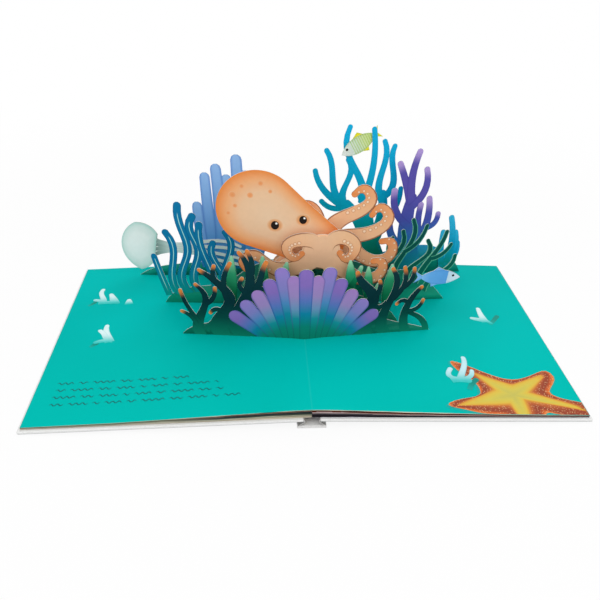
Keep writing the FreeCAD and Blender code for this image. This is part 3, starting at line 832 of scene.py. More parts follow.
def disc(ink: Finish, x: float, z: float, radius: float, squeeze: float = 1.0) -> Decal:
    """Ellipse: cosine and sine of a turn, the sine squeezed."""
    turn = np.linspace(0, 2 * math.pi, 20, endpoint=False)
    rim = np.c_[np.cos(turn), squeeze * np.sin(turn)] * radius + (x, z)
    return patch(ink, rim, (x, z), 4)


def arc_through(start: Point2, middle: Point2, end: Point2, count: int) -> np.ndarray:
    """Circle arc through three points.

    The centre is where the two perpendicular bisectors meet; the points lie at evenly
    spaced angles from the start, past the middle, to the end.

    Args:
        start: first point.
        middle: a point on the arc.
        end: last point.
        count: number of points.

    Returns:
        The points, one row each.
    """
    a, b, c = (np.array(p, float) for p in (start, middle, end))
    target = np.array([b @ b - a @ a, c @ c - b @ b]) / 2
    centre = np.linalg.solve([b - a, c - b], target)
    angles = [math.atan2(*(p - centre)[::-1]) for p in (a, b, c)]
    sweep = (angles[2] - angles[0]) % (2 * math.pi)
    if (angles[1] - angles[0]) % (2 * math.pi) > sweep:
        sweep -= 2 * math.pi
    t = angles[0] + np.linspace(0, sweep, count)
    return centre + math.hypot(*(a - centre)) * np.c_[np.cos(t), np.sin(t)]


def egg_rim(big: Point3, small: Point3) -> np.ndarray:
    """Outline of two circles and the lines that touch both.

    The touching points lie where the radius makes the angle acos((r1 - r2) / run) with the
    line of centres.

    Args:
        big: x, z and radius of the larger circle.
        small: the same of the smaller one.

    Returns:
        The points, one row each.
    """
    run = math.hypot(small[0] - big[0], small[1] - big[1])
    heading = math.atan2(small[1] - big[1], small[0] - big[0])
    spread = math.acos((big[2] - small[2]) / run)
    turns = (np.linspace(heading + spread, heading + 2 * math.pi - spread, 36),
             np.linspace(heading - spread, heading + spread, 16))
    circles = zip((big, small), turns)
    return np.concatenate([np.c_[x + r * np.cos(t), z + r * np.sin(t)] for (x, z, r), t in circles])


def levels(decals: Sequence[Decal], cell: float = 1.5, reach: float = 260.0) -> list[int]:
    """Level of each print: one above the highest that it covers.

    The sheet is divided into square cells. A cell that holds a sample of a quad, a weighted
    mean of its corners at even shares, is covered; levels are looked up there and around it.

    Args:
        decals: from the lowest to the topmost.
        cell: side of a cell.
        reach: how far the sheet may reach from its origin.

    Returns:
        A level from 1 up for each print.
    """
    share = np.linspace(0, 1, 6)
    u, v = (axis.ravel() for axis in np.meshgrid(share, share))
    weights = np.c_[(1 - u) * (1 - v), u * (1 - v), u * v, (1 - u) * v]
    around = np.stack(np.meshgrid([-1, 0, 1], [-1, 0, 1]), axis=-1).reshape(-1, 2)
    heights = np.zeros((int(2 * reach / cell),) * 2, int)
    made = []
    for decal in decals:
        samples = np.einsum("wc,fcd->fwd", weights, decal.points[decal.faces]).reshape(-1, 2)
        covered = np.unique(((samples + reach) / cell).astype(int), axis=0)
        near = (covered[:, None, :] + around[None, :, :]).reshape(-1, 2)
        made.append(int(heights[near[:, 0], near[:, 1]].max()) + 1)
        heights[covered[:, 0], covered[:, 1]] = made[-1]
    return made


# ---- meshes ----
@dataclass
class Surface:
    """Points, faces and what the materials read, all as arrays.

    corners holds the point numbers of every face, one face after the other; counts holds how
    many of them each face has, and finish the number of its finish.
    """

    points: np.ndarray
    corners: np.ndarray
    counts: np.ndarray
    finish: np.ndarray
    along: np.ndarray
    across: np.ndarray

    @classmethod
    def of_quads(cls, points: np.ndarray, faces: np.ndarray, ends: Sequence[np.ndarray] = ()) -> "Surface":
        """Surface of quads, and of a few larger faces that close it.

        Args:
            points: one row each.
            faces: four point numbers for each quad.
            ends: point numbers of each larger face.

        Returns:
            The surface, all of it in finish 0.
        """
        corners = np.concatenate([faces.ravel(), *ends])
        counts = np.concatenate([np.full(len(faces), 4), [len(end) for end in ends]]).astype(int)
        blank = np.zeros(len(points))
        return cls(points, corners, counts, np.zeros(len(counts), int), blank, blank.copy())

    @classmethod
    def read(cls, mesh: bpy.types.Mesh) -> "Surface":
        """Arrays of a mesh.

        Args:
            mesh: the mesh.

        Returns:
            The surface, with noughts where the mesh has no shares along and across.
        """
        points = np.empty((len(mesh.vertices), 3), np.float32)
        marks = np.zeros((2, len(points)), np.float32)
        corners = np.empty(len(mesh.loops), np.int32)
        counts, finish = np.empty((2, len(mesh.polygons)), np.int32)
        mesh.vertices.foreach_get("co", points.ravel())
        mesh.loops.foreach_get("vertex_index", corners)
        mesh.polygons.foreach_get("loop_total", counts)
        mesh.polygons.foreach_get("material_index", finish)
        for row, label in zip(marks, ("along", "across")):
            if label in mesh.attributes:
                mesh.attributes[label].data.foreach_get("value", row)
        return cls(points, corners, counts, finish, *marks)

    @classmethod
    def from_node(cls, node: str, flat_angle: Optional[float] = None) -> "Surface":
        """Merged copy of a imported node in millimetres.

        Args:
            node: its name.
            flat_angle: where given, faces that lie within this angle become one.

        Returns:
            The surface.
        """
        work = bmesh.new()
        work.from_mesh(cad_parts[node].data)
        bmesh.ops.remove_doubles(work, verts=work.verts, dist=1e-6)
        if flat_angle:
            bmesh.ops.dissolve_limit(work, angle_limit=flat_angle, verts=work.verts, edges=work.edges)
        mesh = bpy.data.meshes.new("copy")
        work.to_mesh(mesh)
        work.free()
        made = cls.read(mesh)
        bpy.data.meshes.remove(mesh)
        return replace(made, points=made.points * (1 / MM), finish=0 * made.finish)

    def __add__(self, other: "Surface") -> "Surface":
        """Both surfaces as one, the other's points numbered on."""
        moved = replace(other, corners=other.corners + len(self.points))
        return Surface(*(np.concatenate(pair) for pair in zip(vars(self).values(), vars(moved).values())))

    def starts(self) -> np.ndarray:
        """Place in corners where each face starts."""
        return np.cumsum(self.counts) - self.counts

    def normals(self) -> np.ndarray:
        """Unit normals: the sum of the cross products of each face's successive corners.

        Returns:
            One row for each face.
        """
        starts = self.starts()
        after = np.arange(len(self.corners)) + 1
        after[starts + self.counts - 1] = starts
        origin = self.points[self.corners[starts]].repeat(self.counts, axis=0)
        here, there = self.points[self.corners] - origin, self.points[self.corners[after]] - origin
        total = np.add.reduceat(np.cross(here, there), starts, axis=0)
        return total / np.maximum(np.linalg.norm(total, axis=1), 1e-12)[:, None]

    def middles(self) -> np.ndarray:
        """Mean of the corners of each face."""
        return np.add.reduceat(self.points[self.corners], self.starts(), axis=0) / self.counts[:, None]

    def turned(self, marked: np.ndarray) -> "Surface":
        """Reverse the corners of some faces.

        Args:
            marked: true for each face that turns.

        Returns:
            The surface.
        """
        number = np.arange(len(self.corners))
        mirrored = np.repeat(2 * self.starts() + self.counts - 1, self.counts) - number
        chosen = np.where(np.repeat(marked, self.counts), mirrored, number)
        return replace(self, corners=self.corners[chosen])

    def facing(self, way: Sequence[float]) -> "Surface":
        """Turn the faces whose normal points away from a direction."""
        return self.turned(self.normals() @ way < 0)

    def mesh(self, name: str, scale: float = 1.0) -> bpy.types.Mesh:
        """New mesh of the arrays.

        Args:
            name: its name.
            scale: factor on the points.

        Returns:
            The mesh.
        """
        mesh = bpy.data.meshes.new(name)
        mesh.vertices.add(len(self.points))
        mesh.loops.add(len(self.corners))
        mesh.polygons.add(len(self.counts))
        mesh.vertices.foreach_set("co", (self.points * scale).astype(np.float32).ravel())
        mesh.loops.foreach_set("vertex_index", self.corners.astype(np.int32))
        mesh.polygons.foreach_set("loop_start", self.starts().astype(np.int32))
        mesh.polygons.foreach_set("material_index", self.finish.astype(np.int32))
        for label, values in (("along", self.along), ("across", self.across)):
            mesh.attributes.new(label, "FLOAT", "POINT").data.foreach_set("value", values.astype(np.float32))
        mesh.update(calc_edges=True)
        return mesh

    def cut(self, side: int, creases: Sequence[float] = (), close: bool = False,
            above: Sequence[tuple[Point2, float]] = ()) -> "Surface":
        """Keep one side of the gutter and cut along creases that run away from the reader.

        Points that lie on one another are merged first, as at a closed shape's middle.

        Args:
            side: -1 or 1 to keep that side, 0 for both.
            creases: x of each further cut, where the sheet bends.
            close: whether the cut is filled, for a solid.
            above: point and slope, in a flat sheet, of lines that the kept part is above.

        Returns:
            The surface.
        """
        planes = [((0, 0, 0), (-side, 0, 0), True)] * abs(side)
        planes += [((x, 0, 0), (1, 0, 0), False) for x in creases]
        planes += [((*point, 0), (slope, -1, 0), True) for point, slope in above]
        mesh = self.mesh("cut")
        work = bmesh.new()
        work.from_mesh(mesh)
        bmesh.ops.remove_doubles(work, verts=work.verts, dist=1e-3)
        for point, way, clear in planes:
            everything = work.verts[:] + work.edges[:] + work.faces[:]
            made = bmesh.ops.bisect_plane(
                work, geom=everything, dist=1e-4, plane_co=point, plane_no=way, clear_outer=clear)
            edges = (part for part in made["geom_cut"] if isinstance(part, bmesh.types.BMEdge))
            rim = [edge for edge in edges if edge.is_valid and edge.is_boundary]
            if close and rim:
                bmesh.ops.holes_fill(work, edges=rim, sides=0)
                bmesh.ops.recalc_face_normals(work, faces=work.faces)
        work.to_mesh(mesh)
        work.free()
        kept = Surface.read(mesh)
        bpy.data.meshes.remove(mesh)
        return kept

    def piece(self, name: str, finishes: Sequence[Finish]) -> Piece:
        """Make the object, at the origin, with its materials.

        Args:
            name: the piece's name.
            finishes: finishes in the order of their numbers.

        Returns:
            The object.
        """
        mesh = self.mesh(name, MM)
        for finish in finishes:
            mesh.materials.append(finish.material())
        mesh.validate()
        LOG.info("%s: %d faces", name, len(mesh.polygons))
        return placed(name, mesh)


def stacked(decals: Sequence[Decal], finishes: list[Finish], first_lift: float, step: float) -> Surface:
    """Prints as one surface in the sheet's own two directions and the lift.

    Args:
        decals: from the lowest to the topmost.
        finishes: the piece's so far; new ones are added.
        first_lift: height over the card below the first level.
        step: height from one level to the next.

    Returns:
        The surface.
    """
    finishes += [own for own in dict.fromkeys(decal.ink for decal in decals) if own not in finishes]
    made = []
    for level, decal in zip(levels(decals), decals):
        lift = np.full((len(decal.points), 1), first_lift + step * level)
        sheet = Surface.of_quads(np.hstack([decal.points, lift]), decal.faces)
        number = np.full(len(decal.faces), finishes.index(decal.ink))
        made.append(replace(sheet, finish=number, along=decal.along, across=decal.across))
    return sum(made[1:], made[0])


# ---- book geometry shared by the pieces ----
@dataclass(frozen=True)
class Fold:
    """Front face of a folded sheet: y at the crease plus a rise for each mm away from it."""

    crease: float
    slope: float

    def at(self, x: np.ndarray) -> np.ndarray:
        """y for each x."""
        return self.crease + self.slope * np.abs(x)

    def beside(self, way: float) -> "Fold":
        """A sheet laid on this one: 1 on its far face, -1 on its near face."""
        return Fold(self.crease + way * CARD + way * SHEET_GAP, self.slope)


@dataclass(frozen=True)
class Spread:
    """Sizes of the open page surfaces."""

    width: float = 225.0
    depth: float = 250.0
    crown: Points = ((0.15, 16.7), (15, 16.25), (30, 15.4))
    knee: Point2 = (150, 7.9)
    fore_edge: Point2 = (225, 4.9)
    foot_sink: float = 0.3
    flat_z: float = 10.0
    flat_keep: float = 0.004

    def height(self, x: np.ndarray) -> np.ndarray:
        """Page surface: a circle through three crown points, then two straight slopes.

        Args:
            x: distance from the gutter, of either sign.

        Returns:
            z for each x.
        """
        (ax, az), (bx, bz), (cx, cz) = self.crown
        system = [[bx - ax, bz - az], [cx - bx, cz - bz]]
        target = np.array([bx * bx - ax * ax + bz * bz - az * az, cx * cx - bx * bx + cz * cz - bz * bz]) / 2
        middle = np.linalg.solve(system, target)
        radius = math.hypot(ax - middle[0], az - middle[1])
        away = np.abs(x)
        arc = middle[1] + np.sqrt(np.maximum(radius ** 2 - (np.clip(away, ax, cx) - middle[0]) ** 2, 0))
        slopes = np.interp(away, [cx, self.knee[0], self.fore_edge[0]], [cz, self.knee[1], self.fore_edge[1]])
        return np.where(away < cx, arc, slopes)

    def feet(self, side: int) -> list[tuple[Point2, float]]:
        """Lines of the page's two slopes, sunk a little, that prints on its sheets end at.

        Args:
            side: -1 for the left page, 1 for the right one.

        Returns:
            A point and the slope of each.
        """
        ends = (self.crown[2], self.knee, self.fore_edge)
        return [((side * x, z - self.foot_sink), side * (far_z - z) / (far_x - x))
                for (x, z), (far_x, far_z) in zip(ends[:-1], ends[1:])]

    def mount(self, piece: Piece, side: int) -> None:
        """Let a standing piece ride on its page's body, with a mesh of its own.

        Args:
            piece: the piece.
            side: -1 for the left page, 1 for the right one.
        """
        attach(piece, body_for(side))
        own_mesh(piece)


SPREAD = Spread()


def body_for(side: int) -> str:
    """The body that a side of the spread moves with."""
    return "front" if side < 0 else "back"


# ---- pop-up sheets ----
@dataclass
class CardSheet:
    """A card piece of the spread: its node's own card, with print laid on its front."""

    node: str
    slot: str
    fold: Fold
    base: Finish
    layers: list[Decal]
    sides: tuple[int, ...] = (-1, 1)
    back: Optional[Finish] = None
    first_lift: float = 0.03
    step: float = 0.03

    def card(self, side: int) -> Surface:
        """The node's card for one side: front, back and cut edges get finishes 0, 1 and 2.

        Args:
            side: -1 or 1 for a half, 0 for the whole.

        Returns:
            The card.
        """
        made = Surface.from_node(self.node).cut(side, close=True)
        way = made.normals()[:, 1]
        return replace(made, finish=np.where(way < -FLAT_FACE, 0, np.where(way > FLAT_FACE, 1, 2)))

    def prints(self, side: int, finishes: list[Finish]) -> Surface:
        """The printed layers, a hair in front of the card and folded as it is.

        A point at x and height z with lift h lies at y of the fold less h. Nothing is
        printed below the page.

        Args:
            side: -1 or 1 for a half, 0 for the whole.
            finishes: the piece's so far; new ones are added.

        Returns:
            The layers.
        """
        flat = stacked(self.layers, finishes, self.first_lift, self.step)
        flat = flat.cut(side, above=SPREAD.feet(side or self.sides[0]))
        x, z, lift = flat.points.T
        folded = np.c_[x, self.fold.at(x) - lift, z]
        return replace(flat, points=folded).facing((0, -1, 0))

    def build(self) -> Pieces:
        """Make the halves and let them ride on their covers.

        Returns:
            The pieces.
        """
        made = []
        for side in self.sides:
            half = side if len(self.sides) > 1 else 0
            finishes: list[Finish] = [self.base, self.back or self.base, CUT]
            surface = self.card(half) + self.prints(half, finishes)
            ending = {-1: "_print_left", 0: "_print", 1: "_print_right"}[half]
            piece = surface.piece(self.node + ending, finishes)
            SPREAD.mount(piece, side)
            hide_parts(self.node)
            made.append(piece)
        return made


@dataclass
class FrontReef:
    """Fan shell and dark branching coral, the sheet nearest the reader."""

    fold: Fold = Fold(-29, 0.19)
    trunks: Branches = (
        (11, 3.6, (-93, 10), (-94, 30), (-88, 46), (-96, 64)),
        (16, 3.6, (-68, 8), (-74, 34), (-66, 52), (-77, 68), (-92, 79)),
        (18, 3.8, (-50, 10), (-60, 34), (-51, 56), (-48, 78), (-57, 99)),
        (18, 3.8, (58, 8), (56, 36), (61, 54), (51, 68), (45, 80)),
        (12, 3.8, (78, 8), (72, 34), (80, 54), (77, 80)),
        (10, 3.8, (99, 6), (92, 30), (97, 46), (106, 58)))
    bridges: Branches = (
        (5, 3.4, (-88, 16), (-80, 28), (-72, 30)), (7, 3.6, (114, 4), (113, 18), (104, 28), (96, 32)),
        (5, 3.4, (74, 46), (67, 42), (62, 46)))
    twigs: Branches = (
        (5, 3.4, (-95, 26), (-103, 38), (-110, 57)), (4.5, 3.4, (-97, 22), (-104, 32), (-110, 35)),
        (5, 3.6, (-89, 44), (-81, 52), (-79, 62)), (6, 3.6, (-68, 50), (-71, 70), (-65, 88)),
        (5, 3.6, (-74, 64), (-80, 74), (-79, 84)), (5, 3.4, (-72, 38), (-80, 40), (-84, 36)),
        (6, 3.8, (-49, 74), (-46, 88), (-50, 101)), (8, 3.8, (-52, 54), (-41, 68), (-38, 80), (-34, 92)),
        (5, 3.6, (-42, 66), (-35, 66), (-30, 72)), (5, 3.6, (-50, 60), (-57, 66), (-55, 74)),
        (6, 3.6, (60, 50), (66, 59), (66, 69)), (6, 3.6, (78, 48), (88, 60), (88, 80)),
        (5, 3.6, (86, 58), (95, 66), (97, 78)), (5, 3.6, (94, 34), (104, 36), (109, 44)),
        (4.5, 3.6, (96, 40), (89, 46), (84, 43)))
    rib_tops: tuple[float, ...] = (88, 81, 88, 76, 64, 53, 41)
    rib_foot: Point2 = (4.4, 10)
    rib_spacing: float = 10.2
    rib_widths: Point2 = (9, 13)
    rib_cuts: int = 9

    def shell(self) -> list[Decal]:
        """Ribs of the fan shell from the outer ones in, in three tints by turns.

        Returns:
            The ribs; rib k leans from k times the spacing at the foot to k times the tip's.
        """
        tints = (INKS.shell_deep, INKS.shell_rose, INKS.shell)
        last = len(self.rib_tops) - 1
        made = []
        for k in sorted(range(-last, last + 1), key=lambda number: -abs(number)):
            foot = (self.rib_foot[0] * k, self.rib_foot[1])
            tip = (self.rib_spacing * k, self.rib_tops[abs(k)] - self.rib_widths[1] / 2)
            made.append(limb(tints[abs(k) % 3], [foot, tip], self.rib_widths, self.rib_cuts))
        return made

    def build(self) -> Pieces:
        """Make the sheet."""
        layers = strands(INKS.thicket_trunk, self.trunks) + strands(INKS.thicket_base, self.bridges)
        layers += strands(INKS.thicket, self.twigs) + self.shell()
        return CardSheet("front_reef", "front_reef_card", self.fold, INKS.thicket_base, layers).build()


@dataclass
class Sprouts:
    """Green lens-shaped blades behind the thicket."""

    fold: Fold = Fold(-15, 0.17)
    blades: tuple[tuple[float, Point2, Point2], ...] = (
        (11, (-66, 30), (-64, 87)), (13, (-50, 34), (-47, 74)), (10, (-36, 40), (-37, 89)),
        (10, (-22, 46), (-16, 85)), (9, (8, 50), (5, 78)), (10, (42, 44), (40, 84)), (9, (58, 40), (57, 76)),
        (11, (76, 28), (79, 76)), (9, (64, 30), (67, 58)))
    twig: Branch = (6, 4, (41, 58), (47, 68), (50, 77))
    under_twig: int = 6

    def blade(self, width: float, foot: Point2, tip: Point2) -> Decal:
        """Blade that is widest halfway up and two fifths of the way across to its tip."""
        middle = (0.6 * foot[0] + 0.4 * tip[0], 0.5 * (foot[1] + tip[1]))
        return limb(INKS.sprout, [foot, middle, tip], [0.45 * width, width, 0.3 * width])

    def build(self) -> Pieces:
        """Make the sheet."""
        layers = [self.blade(*blade) for blade in self.blades]
        layers.insert(self.under_twig, strand(INKS.sprout, *self.twig))
        return CardSheet("sprouts", "sprout_card", self.fold, INKS.sprout_base, layers).build()


@dataclass
class MiddleReef:
    """Blue ribbon weed on the left, dark fronds on the right, and the octopus's crag."""

    fold: Fold = Fold(28, 0.16)
    ribbons: Branches = (
        (7, 6, (-128, 18), (-133, 34), (-137, 48), (-140, 60)),
        (8, 7, (-118, 20), (-124, 42), (-121, 62), (-127, 86)),
        (8.5, 7.5, (-98, 24), (-102, 48), (-97, 70), (-104, 90), (-101, 104)),
        (8.5, 7.5, (-108, 22), (-114, 46), (-107, 68), (-112, 92), (-114, 114)),
        (8, 7, (-82, 26), (-86, 48), (-94, 72), (-95, 96)),
        (8, 6.5, (-78, 28), (-77, 50), (-84, 64), (-83, 78)),
        (8, 6.5, (-66, 30), (-72, 54), (-66, 74), (-71, 90)))
    fronds: Branches = (
        (7, 4.5, (74, 30), (82, 56), (95, 70), (96, 88)), (5, 4.2, (86, 62), (83, 74), (86, 82)),
        (7, 4.5, (92, 30), (94, 56), (106, 78), (105, 99)), (5.5, 4.2, (99, 66), (112, 76), (119, 92)),
        (7, 4.5, (106, 30), (110, 50), (124, 62), (122, 76)),
        (7, 4.5, (114, 30), (124, 52), (133, 66), (140, 84)), (5.5, 4.2, (128, 56), (138, 60), (146, 70)),
        (6.5, 4.5, (124, 20), (134, 36), (146, 44), (152, 57)))

    def build(self) -> Pieces:
        """Make the sheet."""
        layers = strands(INKS.ribbon, self.ribbons) + strands(INKS.frond, self.fronds)
        return CardSheet("middle_reef", "middle_reef_card", self.fold, INKS.reef_base, layers).build()


@dataclass
class RearReef:
    """Periwinkle finger sponges on the left of the farthest sheet."""

    fold: Fold = Fold(85, 0.14)
    fingers: Branches = (
        (14, 10, (-92, 22), (-98, 56), (-101, 90)), (14, 10, (-46, 22), (-38, 60), (-36, 96)),
        (14, 10, (-84, 22), (-89, 70), (-92, 121)), (14, 10, (-70, 22), (-68, 72), (-71, 120)),
        (14, 10, (-54, 22), (-50, 72), (-53, 125)), (15, 10.5, (-78, 22), (-78, 76), (-81, 130)),
        (15, 11, (-62, 22), (-60, 80), (-61, 140)))

    def build(self) -> Pieces:
        """Make the sheet."""
        layers = strands(INKS.finger, self.fingers)
        return CardSheet("rear_reef", "rear_reef_card", self.fold, INKS.rear_base, layers).build()


@dataclass
class BranchCorals:
    """The tall blue coral, the purple coral in front of it, and the cyan stalks at the end.

    The sheet of the fish in the blue coral is steeper than the coral's and meets it at the
    fish, which is fish_x from the gutter.
    """

    blue_fold: Fold = Fold(68, 0.15)
    purple_fold: Fold = Fold(58, 0.15)
    stalk_fold: Fold = RearReef.fold.beside(-1)
    fish_x: float = 56.5
    fish_extra: float = 0.14
    blue: Branches = (
        (40, 15, (84, -4), (74, 40), (67, 72)), (16, 8, (69, 62), (57, 86), (45, 103)),
        (14, 8, (68, 66), (66, 90), (59, 110)), (14, 8, (73, 58), (81, 86), (80, 111)),
        (8, 5, (51, 94), (33, 107), (20, 121), (13, 138)),
        (7.5, 5, (44, 101), (31, 121), (29, 139), (23, 157)),
        (7.5, 5, (47, 98), (41, 117), (47, 133), (44, 147)), (6, 5, (44, 99), (31, 99), (20, 107)),
        (8, 5, (60, 104), (57, 126), (45, 149), (44, 178)),
        (8, 5, (60, 102), (66, 122), (69, 147), (67, 175)),
        (7.5, 5, (81, 102), (76, 125), (80, 144), (78, 163)),
        (7.5, 5, (80, 106), (90, 124), (87, 142), (88, 158)), (7, 5, (80, 80), (93, 93), (98, 115)))
    purple_trunks: Branches = (
        (34, 18, (116, -4), (112, 34), (107, 64)), (18, 10, (107, 58), (105, 86), (108, 109)))
    purple: Branches = (
        (8.5, 6, (107, 103), (101, 123), (93, 144)), (9, 6, (108, 104), (106, 130), (111, 155)),
        (8.5, 6, (108, 99), (120, 115), (120, 137)), (8, 6.5, (106, 80), (94, 94), (90, 117)),
        (9, 6.5, (106, 54), (92, 68), (88, 92)), (10, 6, (109, 52), (123, 70), (127, 88), (126, 107)),
        (7, 6, (120, 66), (117, 84), (118, 101)), (6, 5.5, (125, 75), (134, 80), (137, 90)))
    stalks: Branches = (
        (16, 12, (160, 14), (160, 26)), (6, 5, (158, 16), (170, 28), (171, 43)),
        (7, 5.5, (156, 18), (153, 40), (153, 57)), (7, 5.5, (164, 18), (169, 38), (167, 56)),
        (8, 6, (161, 20), (164, 48), (160, 73)))

    def fish_fold(self) -> Fold:
        """Sheet of the fish in the blue coral."""
        own = self.blue_fold
        return Fold(own.crease - self.fish_extra * self.fish_x, own.slope + self.fish_extra)

    def build(self) -> Pieces:
        """Make the three corals.

        Returns:
            The pieces.
        """
        blue, stalks = strands(INKS.blue, self.blue), strands(INKS.stalk, self.stalks)
        purple = strands(INKS.purple_trunk, self.purple_trunks) + strands(INKS.purple, self.purple)
        back = INKS.blue_back
        sheets = (
            CardSheet("blue_coral", "blue_coral_card", self.blue_fold, INKS.blue, blue, (1,), back),
            CardSheet("purple_coral", "purple_coral_card", self.purple_fold, INKS.purple_trunk, purple, (1,)),
            CardSheet("stalk_tuft", "stalk_card", self.stalk_fold, INKS.blue, stalks, (1,), back))
        return [piece for sheet in sheets for piece in sheet.build()]


@dataclass
class Jellyfish:
    """Pale bell that swims left, its ribbon tentacles trailing to the right.

    The bell's outline is three circle arcs, given by offsets from its place.
    """

    fold: Fold = RearReef.fold.beside(-1)
    place: Point2 = (-162, 42)
    dome: Points = ((-4, 27), (-20, 0), (-2, -27))
    lower_lobe: Points = ((-2, -27), (8, -22), (13, -16))
    upper_lobe: Points = ((18, 16), (9, 25), (-4, 27))
    middle: Point2 = (-4, 1)
    lip: Points = ((11.5, -15), (16.5, 15))
    lip_widths: Point2 = (3.4, 4.4)
    trails: Branches = (
        (4.6, 3, (-150, 33), (-122, 39), (-86, 32), (-52, 27)),
        (4.6, 3, (-150, 39.5), (-122, 41.5), (-86, 39), (-59, 34)),
        (4.6, 3, (-150, 46), (-122, 44), (-86, 46), (-52, 41)),
        (4.6, 3, (-150, 52.5), (-122, 46.5), (-86, 53), (-59, 48)))

    def bell(self) -> list[Decal]:
        """Bell with a grey inner rim along its open side.

        Returns:
            The inner rim, then the bell over it.
        """
        centre = np.array(self.place)
        dome, lower, upper = (arc_through(*(centre + arc), count) for arc, count in
                              ((self.dome, 24), (self.lower_lobe, 8), (self.upper_lobe, 8)))
        rim = np.concatenate([dome[:-1], lower, upper[:-1]])
        lip = limb(INKS.bell_lip, centre + self.lip, self.lip_widths)
        return [lip, patch(INKS.bell, rim, centre + self.middle)]

    def build(self) -> Pieces:
        """Make the jellyfish."""
        layers = strands(INKS.trail, self.trails) + self.bell()
        sheet = CardSheet("jellyfish", "jellyfish_card", self.fold, INKS.bell_lip, layers, (-1,), INKS.bell)
        return sheet.build()


@dataclass
class Fish:
    """Small fish in side view: lens body, forked tail and two fins."""

    node: str
    slot: str
    fold: Fold
    centre: Point2
    length: float
    height: float
    heads: int
    tilt: float
    body_ink: Print
    head_ink: Print
    fin_ink: Print
    head_share: float = 0.22
    nose: Point2 = (0.5, 0)
    back: Point2 = (0.12, 0.42)
    waist: Point2 = (-0.34, 0.1)
    eye: Point3 = (0.34, 0.1, 0.055)
    eye_grow: float = 0.25
    tail: Points = ((-0.3, 0.02), (-0.5, 0.34), (-0.43, 0), (-0.5, -0.34), (-0.3, -0.02))
    back_fin: Points = ((0.2, 0.34), (-0.02, 0.6), (-0.2, 0.2))
    belly_fin: Points = ((0.12, -0.34), (-0.1, -0.58), (-0.14, -0.2))
    fin_step: float = 0.02
    overlap: float = 0.02
    end_gap: float = 0.001

    def at(self, shares: np.ndarray) -> np.ndarray:
        """Points on the card from shares of length and height, turned by the tilt.

        Args:
            shares: the two shares, last in the array's shape.

        Returns:
            x and z, last in the same shape.
        """
        x, z = np.moveaxis(shares * (self.heads * self.length, self.height), -1, 0)
        turn = math.radians(self.tilt)
        cos, sin = math.cos(turn), math.sin(turn)
        return np.stack([self.centre[0] + x * cos - z * sin, self.centre[1] + x * sin + z * cos], axis=-1)

    def stretch(self, start: float, end: float, ink: Finish) -> Decal:
        """Stretch of the body between two shares of its length.

        The outline is a circle arc through nose, back and waist; a row at share u runs from
        the belly arc to the back arc.

        Args:
            start: share where it starts, nearer the tail.
            end: share where it ends.
            ink: finish.

        Returns:
            The decal.
        """
        size = np.array([self.length, self.height])
        arc = arc_through(*(np.array([self.nose, self.back, self.waist]) * size), 60) / size
        u = np.linspace(start, end, 26)
        top = np.interp(u, arc[::-1, 0], arc[::-1, 1])
        shares = np.linspace(-1, 1, 7)
        grid = np.stack(np.broadcast_arrays(u[:, None], top[:, None] * shares), axis=-1)
        return Decal.of_grid(ink, self.at(grid), ((u - start) / (end - start))[:, None], shares)

    def fin(self, corners: Sequence[Point2]) -> Decal:
        """Fin as rings from the mean of its corners to its outline."""
        rim = self.at(densify([*corners, corners[0]], self.fin_step)[:-1])
        return patch(self.fin_ink, rim, tuple(rim.mean(axis=0)), 4)

    def build(self) -> Pieces:
        """Make the fish.

        Returns:
            The pieces.
        """
        layers = [self.fin(fin) for fin in (self.tail, self.back_fin, self.belly_fin)]
        start, end = self.waist[0] + self.end_gap, self.nose[0] - self.end_gap
        layers += [self.stretch(start, self.head_share + self.overlap, self.body_ink),
                   self.stretch(self.head_share, end, self.head_ink)]
        x, z = self.at(np.array([self.eye[:2]]))[0]
        layers.append(disc(INKS.pupil, x, z, self.eye[2] * self.height + self.eye_grow))
        return CardSheet(self.node, self.slot, self.fold, self.fin_ink, layers, (1,), self.body_ink).build()


